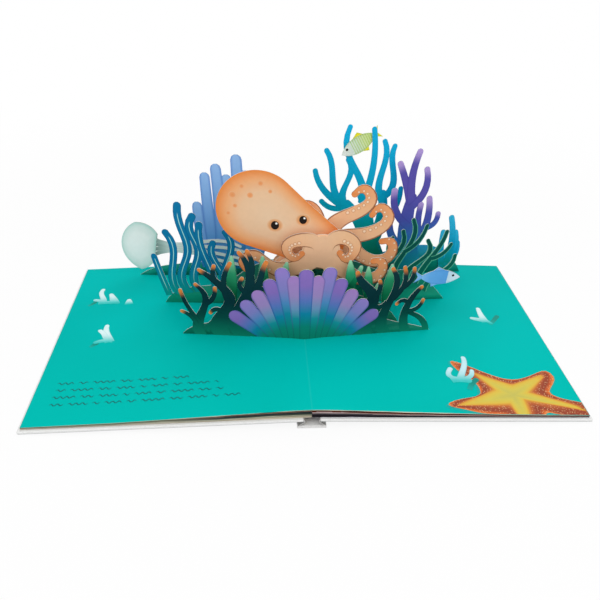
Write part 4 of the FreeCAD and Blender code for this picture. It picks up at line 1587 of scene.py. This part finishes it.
@dataclass
class Octopus:
    """Peach octopus on three layers of card: mantle between front and rear arms.

    An arm has its foot and tip widths, the side of its suckers and its points. On each layer
    two arms come down over the struts, from the heights that its feet give.
    """

    front_fold: Fold = Fold(-6, 0.1)
    mantle_fold: Fold = Fold(1, 0.1)
    rear_fold: Fold = Fold(8, 0.1)
    crown: Point3 = (-41, 128, 35.5)
    brow: Point3 = (14, 95, 21)
    middle: Point2 = (-30, 121)
    eyes: tuple[Point3, ...] = ((-26, 114, 3.5), (-2, 120, 3.3))
    freckles: tuple[Point3, ...] = (
        (-62, 141, 3.2), (-54, 149, 2.2), (-47, 141, 2.6), (-60, 131, 2.0), (-38, 152, 2.4), (-30, 145, 1.8),
        (-66, 124, 2))
    rear_arms: Branches = (
        (16, 6, 1, (13, 102), (11, 118), (4, 130), (-5, 132)),
        (17, 6.5, -1, (24, 88), (46, 84), (66, 72), (80, 78), (80, 90), (71, 92)),
        (17, 6.5, 1, (26, 96), (46, 99), (66, 104), (75, 116), (68, 125), (60, 119)),
        (17, 6.5, 1, (22, 100), (34, 117), (50, 124), (58, 134), (52, 143), (43, 139)))
    front_arms: Branches = (
        (17, 6.5, 1, (8, 86), (-10, 76), (-30, 77), (-45, 88), (-54, 82), (-52, 74)),
        (17, 6.5, -1, (18, 84), (38, 70), (56, 62), (69, 67), (70, 78), (62, 80)),
        (15, 6, 1, (10, 98), (-6, 104), (-16, 96), (-11, 87), (-3, 91)),
        (17, 6.5, -1, (20, 96), (36, 104), (44, 94), (38, 84), (31, 90)))
    rear_web: Point3 = (16, 96, 18.5)
    front_web: Point3 = (14, 92, 15.5)
    rear_feet: Point2 = (90, 88)
    mantle_feet: Point2 = (92, 90)
    front_feet: Point2 = (86, 84)
    foot_widths: Point2 = (13, 9)
    hips: Point2 = (6, 18)
    knee: float = 25.0
    knee_z: float = 70.0
    sole: float = 28.0
    sole_z: float = 50.0
    sucker_span: Point2 = (0.36, 0.94)
    sucker_count: int = 9
    sucker_off: float = 0.24
    sucker_share: float = 0.12
    sucker_grow: float = 0.3

    def feet(self, tops: Point2) -> list[Decal]:
        """Arms that come down over the struts, from the heights of the left and the right one."""
        return [strand(INKS.octopus_web, *self.foot_widths, (hip, top), (side * self.knee, self.knee_z),
                       (side * self.sole, self.sole_z)) for side, hip, top in zip((-1, 1), self.hips, tops)]

    def suckers(self, foot: float, tip: float, side: int, *path: Point2) -> list[Decal]:
        """Row of suckers along one edge of an arm, smaller towards the tip.

        Each centre is a point at an even share of the arm's length, moved sideways by a
        quarter of the arm's width there.

        Args:
            foot: the arm's width at its foot.
            tip: its width at its tip.
            side: 1 for its left edge, -1 for its right one.
            path: the arm's points.

        Returns:
            The row as one print.
        """
        points = smooth(np.array(path, float), 12)
        walked = walk(points)
        share = np.linspace(*self.sucker_span, self.sucker_count)
        spots = np.c_[tuple(np.interp(share * walked[-1], walked, axis) for axis in points.T)]
        width = foot + (tip - foot) * share
        spots += sideways(np.gradient(spots, axis=0)) * (side * self.sucker_off * width)[:, None]
        radius = self.sucker_share * width + self.sucker_grow
        return joined([disc(INKS.sucker, x, z, r) for x, z, r in zip(*spots.T, radius)])

    def arms(self, rows: Branches) -> list[Decal]:
        """Arms with their suckers, from the lowest to the topmost."""
        return [decal for foot, tip, side, *path in rows for decal in
                (strand(INKS.octopus_arm, foot, tip, *path), *self.suckers(foot, tip, side, *path))]

    def mantle(self) -> list[Decal]:
        """Round mantle with freckles and eyes.

        An eye is a socket twice as wide as its pupil, the pupil, and a glint at its upper right.

        Returns:
            The prints.
        """
        body = patch(INKS.octopus, egg_rim(self.crown, self.brow), self.middle, 12)
        freckles = joined([disc(INKS.freckle, *spot) for spot in self.freckles])
        layers = [*self.feet(self.mantle_feet), body, *freckles]
        for x, z, r in self.eyes:
            layers += [disc(INKS.socket, x, z, 2 * r, 0.9), disc(INKS.pupil, x, z, r, 1.15),
                       disc(INKS.glint, x + 0.35 * r, z + 0.5 * r, 0.28 * r)]
        return layers

    def build(self) -> Pieces:
        """Make the three layers.

        Returns:
            The pieces.
        """
        web = INKS.octopus_web
        rear = [*self.feet(self.rear_feet), disc(web, *self.rear_web), *self.arms(self.rear_arms)]
        front = [*self.feet(self.front_feet), disc(web, *self.front_web), *self.arms(self.front_arms)]
        rows = (("octopus_rear_arms", self.rear_fold, rear),
                ("octopus_mantle", self.mantle_fold, self.mantle()),
                ("octopus_front_arms", self.front_fold, front))
        return [piece for node, fold, layers in rows
                for piece in CardSheet(node, "octopus_card", fold, INKS.octopus_base, layers).build()]


@dataclass
class Struts:
    """Hidden strips that hold the sheets apart."""

    strips: tuple[tuple[str, int], ...] = (
        ("left_figure_strut", -1), ("left_rear_strut", -1),
        ("right_figure_strut", 1), ("right_rear_strut", 1))

    def build(self) -> Pieces:
        """Copy each strip, in green card with pale cut edges.

        Returns:
            The pieces.
        """
        made = []
        for name, side in self.strips:
            strip = Surface.from_node(name)
            strip.finish = np.where(np.abs(strip.normals()[:, 0]) > FLAT_FACE, 0, 1)
            piece = strip.piece(name + "_print", [INKS.reef_base, CUT])
            SPREAD.mount(piece, side)
            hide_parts(name)
            made.append(piece)
        return made


# ---- book block, covers and spine ----
@dataclass
class Sprig:
    """Small white coral that fades into the sea, with dark spots of shadow.

    It fades between two y, or where they aren't given, from each branch's foot up.
    """

    branches: Branches
    shades: Branches = ()
    fade: Optional[Point2] = None
    tint: Print = INKS.sprig

    def prints(self) -> list[Decal]:
        """Shadows, then the branches, whose share along is taken from y where they fade by y.

        Returns:
            The prints.
        """
        made = strands(self.tint, self.branches)
        if self.fade:
            low, high = self.fade
            for decal in made:
                decal.along = np.clip((decal.points[:, 1] - low) / (high - low), 0, 1)
        return strands(INKS.sprig_shade, self.shades) + made


@dataclass
class LeftPagePrint:
    """White coral sprigs and four rows of ripples.

    A row has its y and the x of both its ends.
    """

    rows: tuple[Point3, ...] = ((-73, -209, -92), (-82, -208, -74), (-91, -209, -70), (-100, -209, -56))
    lengths: tuple[float, ...] = (14, 8, 19, 11, 16, 6)
    shortest: float = 4.0
    gap: float = 3.6
    wavelength: float = 5.2
    swing: float = 1.25
    stroke: float = 0.9
    points_per_mm: float = 1.6
    sprigs: tuple[Sprig, ...] = (
        Sprig(((5, 5, (-200, 53.5), (-191, 54.5), (-181, 53)),
            (6, 4.2, (-195, 54), (-196.5, 62), (-199.7, 70), (-200, 79.5)),
            (5, 4, (-195, 57), (-200, 58.5), (-204, 59.5)),
            (10, 4, (-183.5, 52), (-186.5, 61), (-190, 69.5))),
            ((3, 4, (-209, 49), (-206.5, 51.5), (-203.5, 55)),), (50.5, 67)),
        Sprig(((9, 4.6, (-169.2, 49), (-170.2, 56.8)),), (), (50.5, 57.5)),
        Sprig(((9, 4.2, (-176.5, -15), (-180, -6), (-182.7, 2.5), (-183.6, 12)),
            (5.5, 4.2, (-181, -8), (-185, 0), (-188.5, 4.2)),
            (6, 4.4, (-174, -13), (-182, -12.5), (-189, -14.8))),
            ((3.5, 4.8, (-192.5, -22), (-190.5, -19), (-188, -16.5)),), (-18, -1)))

    def ripples(self) -> list[Decal]:
        """Short sine waves in rows, with gaps between them.

        Returns:
            One print of all the strokes.
        """
        made = []
        for k, (y, start, end) in enumerate(self.rows):
            while start < end - self.shortest:
                stop = min(start + self.lengths[k % len(self.lengths)], end)
                u = np.linspace(start, stop, max(6, int((stop - start) * self.points_per_mm)))
                v = y + self.swing * np.sin((u - start) * 2 * math.pi / self.wavelength)
                made.append(line(INKS.ripple, np.c_[u, v], self.stroke))
                start, k = stop + self.gap, k + 1
        return joined(made)

    def prints(self) -> list[Decal]:
        """Everything on the page."""
        return self.ripples() + [decal for sprig in self.sprigs for decal in sprig.prints()]


@dataclass
class RightPagePrint:
    """Starfish that runs off the page, and white coral sprigs."""

    centre: Point2 = (169.5, -101)
    outline: Points = (
        (127, -56), (146.5, -65.5), (175, -80), (199, -71), (210.5, -67.5), (213.8, -74.5), (202.5, -98),
        (214, -106), (240, -119), (239, -131), (206, -128), (190, -123), (186, -140), (176, -146),
        (166, -141), (156, -127), (142, -125), (123, -120), (111, -115), (124, -107), (142, -99),
        (140, -82), (132, -71))
    ridges: Points = (
        (144, -72), (172.5, -87.5), (210.5, -69.5), (184, -97), (236, -122), (177, -106), (172, -175),
        (163.5, -112), (118, -115.5), (156, -94))
    ridge_limit: float = 0.92
    rings: int = 15
    shadow_grow: float = 2.2
    shadow_slip: Point2 = (-0.8, -1.6)
    page_rim: float = 0.3
    sprigs: tuple[Sprig, ...] = (
        Sprig(((8, 4.2, (178.5, 9), (177.4, 20), (177.7, 33.5)),
            (7, 4.2, (177, 12.5), (171, 14), (166.5, 15.6)), (6, 3, (176, 14), (180, 11), (183.5, 7))),
            ((4, 4.6, (181.5, 5), (186.5, 11.5), (193, 20)),), (6, 21)),
        Sprig(((7, 7, (121.5, -83), (128, -81.5), (136, -82.5)),
            (6, 4.4, (130, -80), (134.5, -70), (138.6, -60), (140.3, -50)),
            (5.5, 4.6, (128.5, -80.5), (121.6, -77.5), (124.3, -67)),
            (5, 4, (130.5, -81), (139.2, -77), (143, -68.8))),
            ((4.5, 5, (134, -95), (137.5, -88), (143.5, -81)),), (-87, -69), INKS.star_sprig))

    def star(self, finish: Finish, grow: float = 0.0, slip: Point2 = (0.0, 0.0)) -> Decal:
        """Starfish as rings between its centre, the ridges of its arms and its outline.

        The outline is a smooth closed line. A ray from the centre through each of its points
        meets the lines between the ridge corners at the ridge radius. Rings up to share one
        half run evenly to that radius, the others from it to the outline. What lies past the
        page's edges is moved onto them.

        Args:
            finish: finish.
            grow: widening of the outline, for the shadow.
            slip: how far the shape is moved.

        Returns:
            The decal.
        """
        middle = np.array(self.centre, float)
        loop = np.array(self.outline, float)
        rim = smooth(np.concatenate([loop[-3:], loop, loop[:4]]), 4, overlap=3)[:-1] - middle
        radius = np.linalg.norm(rim, axis=1)
        rays = rim / radius[:, None]
        turn = np.arctan2(rays[:, 1], rays[:, 0])
        corners = np.array(self.ridges, float) - middle
        angles = np.arctan2(corners[:, 1], corners[:, 0])
        corners, angles = corners[np.argsort(angles)], np.sort(angles)
        first = (np.searchsorted(angles, turn) - 1) % len(corners)
        p, q = corners[first], corners[(first + 1) % len(corners)]
        cross = p[:, 0] * q[:, 1] - p[:, 1] * q[:, 0]
        side = (q[:, 0] - p[:, 0]) * rays[:, 1] - (q[:, 1] - p[:, 1]) * rays[:, 0]
        ridge = np.minimum(np.abs(cross / side), self.ridge_limit * radius)
        shares = np.linspace(0, 1, self.rings)[:, None]
        outer = ridge + (2 * shares - 1) * (radius + grow - ridge)
        reach = np.where(shares < 0.5, 2 * shares * ridge, outer)
        grid = middle + reach[:, :, None] * rays + slip
        grid[:, :, 0] = np.clip(grid[:, :, 0], 0, SPREAD.width - self.page_rim)
        grid[:, :, 1] = np.clip(grid[:, :, 1], -SPREAD.depth / 2 + self.page_rim, None)
        return Decal.of_grid(finish, grid, turn, shares, True)

    def prints(self) -> list[Decal]:
        """Everything on the page."""
        made = [self.star(INKS.star_shade, self.shadow_grow, self.shadow_slip), self.star(INKS.star)]
        return made + [decal for sprig in self.sprigs for decal in sprig.prints()]


@dataclass
class PageBlock:
    """Stacked leaves of one side under the printed sea."""

    side: int
    edges: LeafEdges
    art: Union[LeftPagePrint, RightPagePrint]
    skin_lift: float = 0.06
    rim_round: float = 0.3
    first_lift: float = 0.08
    step: float = 0.03
    top_within: float = 0.25
    u_steps: tuple[tuple[float, float, int], ...] = ((0, 30, 16), (34, 150, 30), (154, 224.6, 18))
    v_steps: tuple[float, float, int] = (-120, 120, 7)
    rim_steps: Point2 = (0.02, 0.25)

    def block(self) -> Surface:
        """The node's block: sea on top and stacked leaf ends all round.

        Returns:
            The surface.
        """
        made = Surface.from_node("left_pages" if self.side < 0 else "right_pages")
        x, _, z = made.middles().T
        return replace(made, finish=np.where(np.abs(z - SPREAD.height(x)) < self.top_within, 0, 1))

    def skin(self) -> Surface:
        """Printed top leaf: the page surface over a grid, lifted a hair and lower at its rim.

        The lift falls to half within a small way of the page's edges.

        Returns:
            The surface.
        """
        half = SPREAD.depth / 2
        rim = np.array(self.rim_steps)
        u = np.concatenate([np.linspace(*steps) for steps in self.u_steps])
        v = np.concatenate([rim - half, np.linspace(*self.v_steps), (half - rim)[::-1]])
        x, y = (axis.ravel() for axis in np.meshgrid(u, v))
        inside = np.clip(np.minimum(half - np.abs(y), SPREAD.width - x) / self.rim_round, 0, 1)
        points = np.c_[self.side * x, y, SPREAD.height(x) + self.skin_lift * (0.5 + 0.5 * inside)]
        return Surface.of_quads(points, grid_faces(len(v), len(u))).facing((0, 0, 1))

    def prints(self, finishes: list[Finish]) -> Surface:
        """The page's figures, cut at the knee: z is the page's height at x plus the lift.

        Args:
            finishes: the piece's so far; new ones are added.

        Returns:
            The surface.
        """
        flat = stacked(self.art.prints(), finishes, self.first_lift, self.step)
        flat = flat.cut(0, (self.side * SPREAD.knee[0],))
        x, y, lift = flat.points.T
        return replace(flat, points=np.c_[x, y, SPREAD.height(x) + lift]).facing((0, 0, 1))

    def build(self) -> Pieces:
        """Make the block with its printed top.

        Returns:
            The piece.
        """
        finishes: list[Finish] = [INKS.sea, self.edges]
        whole = self.block() + self.skin() + self.prints(finishes)
        piece = whole.piece("left_page_block" if self.side < 0 else "right_page_block", finishes)
        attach(piece, body_for(self.side))
        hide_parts("left_pages" if self.side < 0 else "right_pages")
        return [piece]


def densify(corners: Sequence[Point2], step: float) -> np.ndarray:
    """Points along a line of corners: the corners and even steps of its length.

    Args:
        corners: the line's corners.
        step: greatest length between two points.

    Returns:
        The points, one row each.
    """
    points = np.array(corners, float)
    walked = walk(points)
    even = np.linspace(0, walked[-1], math.ceil(walked[-1] / step) + 1)
    at = np.unique(np.round(np.concatenate([even, walked]), 6))
    return np.c_[tuple(np.interp(at, walked, axis) for axis in points.T)]


@dataclass
class Covers:
    """White laminated boards, the spine board and the paper strips between them."""

    board_round: float = 0.7
    length: float = 255.0
    strip_outer: Points = ((11, 2.6), (6.3, 6.4), (6.3, 8.95))
    strip_inner: Points = ((5.8, 8.95), (5.8, 6.2), (10.1, 2.6))
    strip_step: float = 0.9
    strip_swing: Point2 = (0.964, -0.266)
    strip_keep: float = 0.05

    def board(self, node: str, body: str, finish: Finish) -> Piece:
        """Copy a board, join its flat faces and round its edges.

        Args:
            node: the board's node.
            body: the body that it rides on.
            finish: finish.

        Returns:
            The piece.
        """
        name = {"spine_board": "spine_card_board"}.get(node, node + "_board")
        piece = Surface.from_node(node, math.radians(0.5)).piece(name, [finish])
        piece.data.polygons.foreach_set("use_smooth", np.ones(len(piece.data.polygons), bool))
        bevel = piece.modifiers.new("covered_edge", "BEVEL")
        bevel.width = self.board_round * MM
        bevel.segments = 3
        bevel.limit_method = "ANGLE"
        bevel.angle_limit = math.radians(50)
        bevel.harden_normals = True
        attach(piece, body)
        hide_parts(node)
        return piece

    def strip(self, side: int) -> Piece:
        """Paper strip from the spine board up the edge of a cover board.

        Its section, cut into short pieces, is carried straight from the near edge to the far one, with a face
        at each end.

        Args:
            side: -1 for the front cover's, 1 for the back cover's.

        Returns:
            The piece.
        """
        walls = (self.strip_outer, self.strip_inner)
        ring = np.concatenate([densify(wall, self.strip_step) for wall in walls])
        y = np.linspace(-self.length / 2, self.length / 2, 9)
        x, z = np.tile(ring, (len(y), 1)).T
        points = np.c_[side * x, np.repeat(y, len(ring)), z]
        near = np.arange(len(ring))
        caps = (near, (near + len(ring) * (len(y) - 1))[::-1])
        tube = Surface.of_quads(points, grid_faces(len(y), len(ring), closed=True), caps)
        tube = tube.turned(np.full(len(tube.counts), side > 0))
        piece = tube.piece("front_hinge_strip" if side < 0 else "back_hinge_strip", [GUTTER_PAPER])
        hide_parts("front_hinge_paper" if side < 0 else "back_hinge_paper")
        return piece

    def build(self) -> Pieces:
        """Make boards, spine and strips.

        The front cover's strip rides on the spine; the back cover's strip stays where it is.

        Returns:
            The pieces.
        """
        made = [self.board("front_cover", "front", COVER),
                self.board("back_cover", "back", COVER),
                self.board("spine_board", "spine", SPINE), self.strip(-1), self.strip(1)]
        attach(made[3], "spine")
        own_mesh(made[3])
        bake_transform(made[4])
        return made


# ---- stage, light and camera ----
@dataclass
class Stage:
    """Pale floor, soft lamps and the camera, in metres and degrees.

    A lamp has its place, the side of its square and its watts. The floor turns whiter between
    two distances from the book, in millimetres.
    """

    floor_half: float = 6.0
    floor_z: float = -0.0002
    floor_white: float = 0.88
    floor_ink: tuple[float, float, float, float] = (0.86, 0.86, 0.86, 1.0)
    floor_rough: float = 0.9
    whiter_span: Point2 = (320, 900)
    world_light: float = 0.5
    lamps: tuple[tuple[str, Point3, float, float], ...] = (
        ("key", (-0.7, -1.1, 1.3), 1.4, 11.5), ("fill", (0.9, -0.9, 1.1), 1.4, 6.5),
        ("top", (0, 0.4, 1.6), 1.6, 6.5), ("behind", (0.3, 1.4, 1.1), 1.4, 5))
    aim: Point3 = (0, 0, 0.04)
    camera_at: Point3 = (-0.0392, -0.5279, 0.3662)
    yaw: float = 3.918
    pitch: float = 31.635
    roll: float = 1.397
    lens: float = 40.7

    def floor(self) -> None:
        """Floor that keeps the book's shadow: white to the camera, and whiter farther away."""
        h, z = self.floor_half, self.floor_z
        mesh = bpy.data.meshes.new("floor")
        mesh.from_pydata([(-h, -h, z), (h, -h, z), (h, h, z), (-h, h, z)], [], [(0, 1, 2, 3)])
        graph = Paint("floor_white")
        _, x, y, _ = graph.place()
        graph.feed("Base Color", self.floor_ink)
        graph.feed("Roughness", self.floor_rough)
        away = graph.math("SQRT", graph.math("ADD", graph.math("POWER", x, 2), graph.math("POWER", y, 2)))
        white = graph.between(graph.ease(away, *self.whiter_span), self.floor_white, 1)
        glow = graph.node("Emission")
        mixed = graph.shade(graph.times(graph.seen(), white), graph.shader.outputs[0], glow.outputs[0])
        graph.link(mixed, graph.output.inputs[0])
        mesh.materials.append(graph.material)
        floor = placed("floor", mesh)

    def world(self) -> None:
        """White to the camera and in reflections, a plain level of light for everything else."""
        world = bpy.data.worlds.new("studio")
        world.use_nodes = True
        bpy.context.scene.world = world
        graph = Graph(world.node_tree)
        light, white = (graph.node("Background", {"Color": WHITE, "Strength": strength}).outputs[0]
                        for strength in (self.world_light, 1))
        out = graph.node("OutputWorld")
        graph.link(graph.shade(graph.seen(), light, white), out.inputs[0])

    def lamp(self, name: str, at: Sequence[float], size: float, watts: float) -> None:
        """Square soft lamp that faces the book.

        Args:
            name: the lamp's name.
            at: its place.
            size: side of its square.
            watts: its power.
        """
        data = bpy.data.lights.new(name, "AREA")
        data.size = size
        data.energy = watts
        lamp = placed(name, data)
        lamp.location = at
        lamp.rotation_euler = (Vector(self.aim) - Vector(at)).to_track_quat("-Z", "Y").to_euler()

    def camera(self) -> None:
        """Camera from its heading, dip and roll.

        Its axes are right, up and back: right is level, up is right crossed with ahead, and
        the roll turns both about the line of sight.
        """
        yaw, pitch, roll = (math.radians(angle) for angle in (self.yaw, self.pitch, self.roll))
        level = math.cos(pitch)
        ahead = Vector((math.sin(yaw) * level, math.cos(yaw) * level, -math.sin(pitch)))
        right = Vector((math.cos(yaw), -math.sin(yaw), 0))
        up = right.cross(ahead)
        turned = math.cos(roll) * right + math.sin(roll) * up
        upright = -math.sin(roll) * right + math.cos(roll) * up
        data = bpy.data.cameras.new("camera")
        data.lens = self.lens
        data.clip_start = 0.01
        camera = placed("camera", data)
        axes = Matrix((turned, upright, -ahead)).transposed().to_4x4()
        camera.matrix_world = Matrix.Translation(Vector(self.camera_at)) @ axes
        bpy.context.scene.camera = camera

    def build(self) -> Pieces:
        """Set the stage.

        Returns:
            No pieces, as nothing of it belongs to the book.
        """
        bpy.context.scene.view_settings.view_transform = "Standard"
        self.floor()
        self.world()
        for lamp in self.lamps:
            self.lamp(*lamp)
        self.camera()
        return []


def main() -> None:
    """Build the stage, the book and its pop-up, then log how many pieces there are."""
    logging.basicConfig(level=logging.INFO, format="%(message)s")
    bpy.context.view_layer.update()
    corals = BranchCorals()
    left_edges = LeafEdges("left_leaf_edges", LEFT_BANDS, LEFT_OUTER_BANDS, turns_at=(60, 130))
    right_edges = LeafEdges("right_leaf_edges", RIGHT_BANDS, RIGHT_OUTER_BANDS)
    parts = [
        Stage(), Covers(), PageBlock(-1, left_edges, LeftPagePrint()),
        PageBlock(1, right_edges, RightPagePrint()), FrontReef(), Sprouts(), MiddleReef(), RearReef(), corals,
        Jellyfish(),
        Fish("striped_fish", "striped_fish_card", corals.fish_fold(), (55, 162.5), 41, 19, -1, 29,
             INKS.lemon, INKS.lemon_head, INKS.lemon_fin),
        Fish("blue_fish", "blue_fish_card", FrontReef.fold.beside(1), (120, 66), 44, 17, 1, -6,
             INKS.sky, INKS.sky_head, INKS.sky_fin),
        Octopus(), Struts()]
    count = sum(len(part.build()) for part in parts)
    LOG.info("%d pieces", count)
    bpy.context.view_layer.update()


if __name__ == "__main__":
    main()
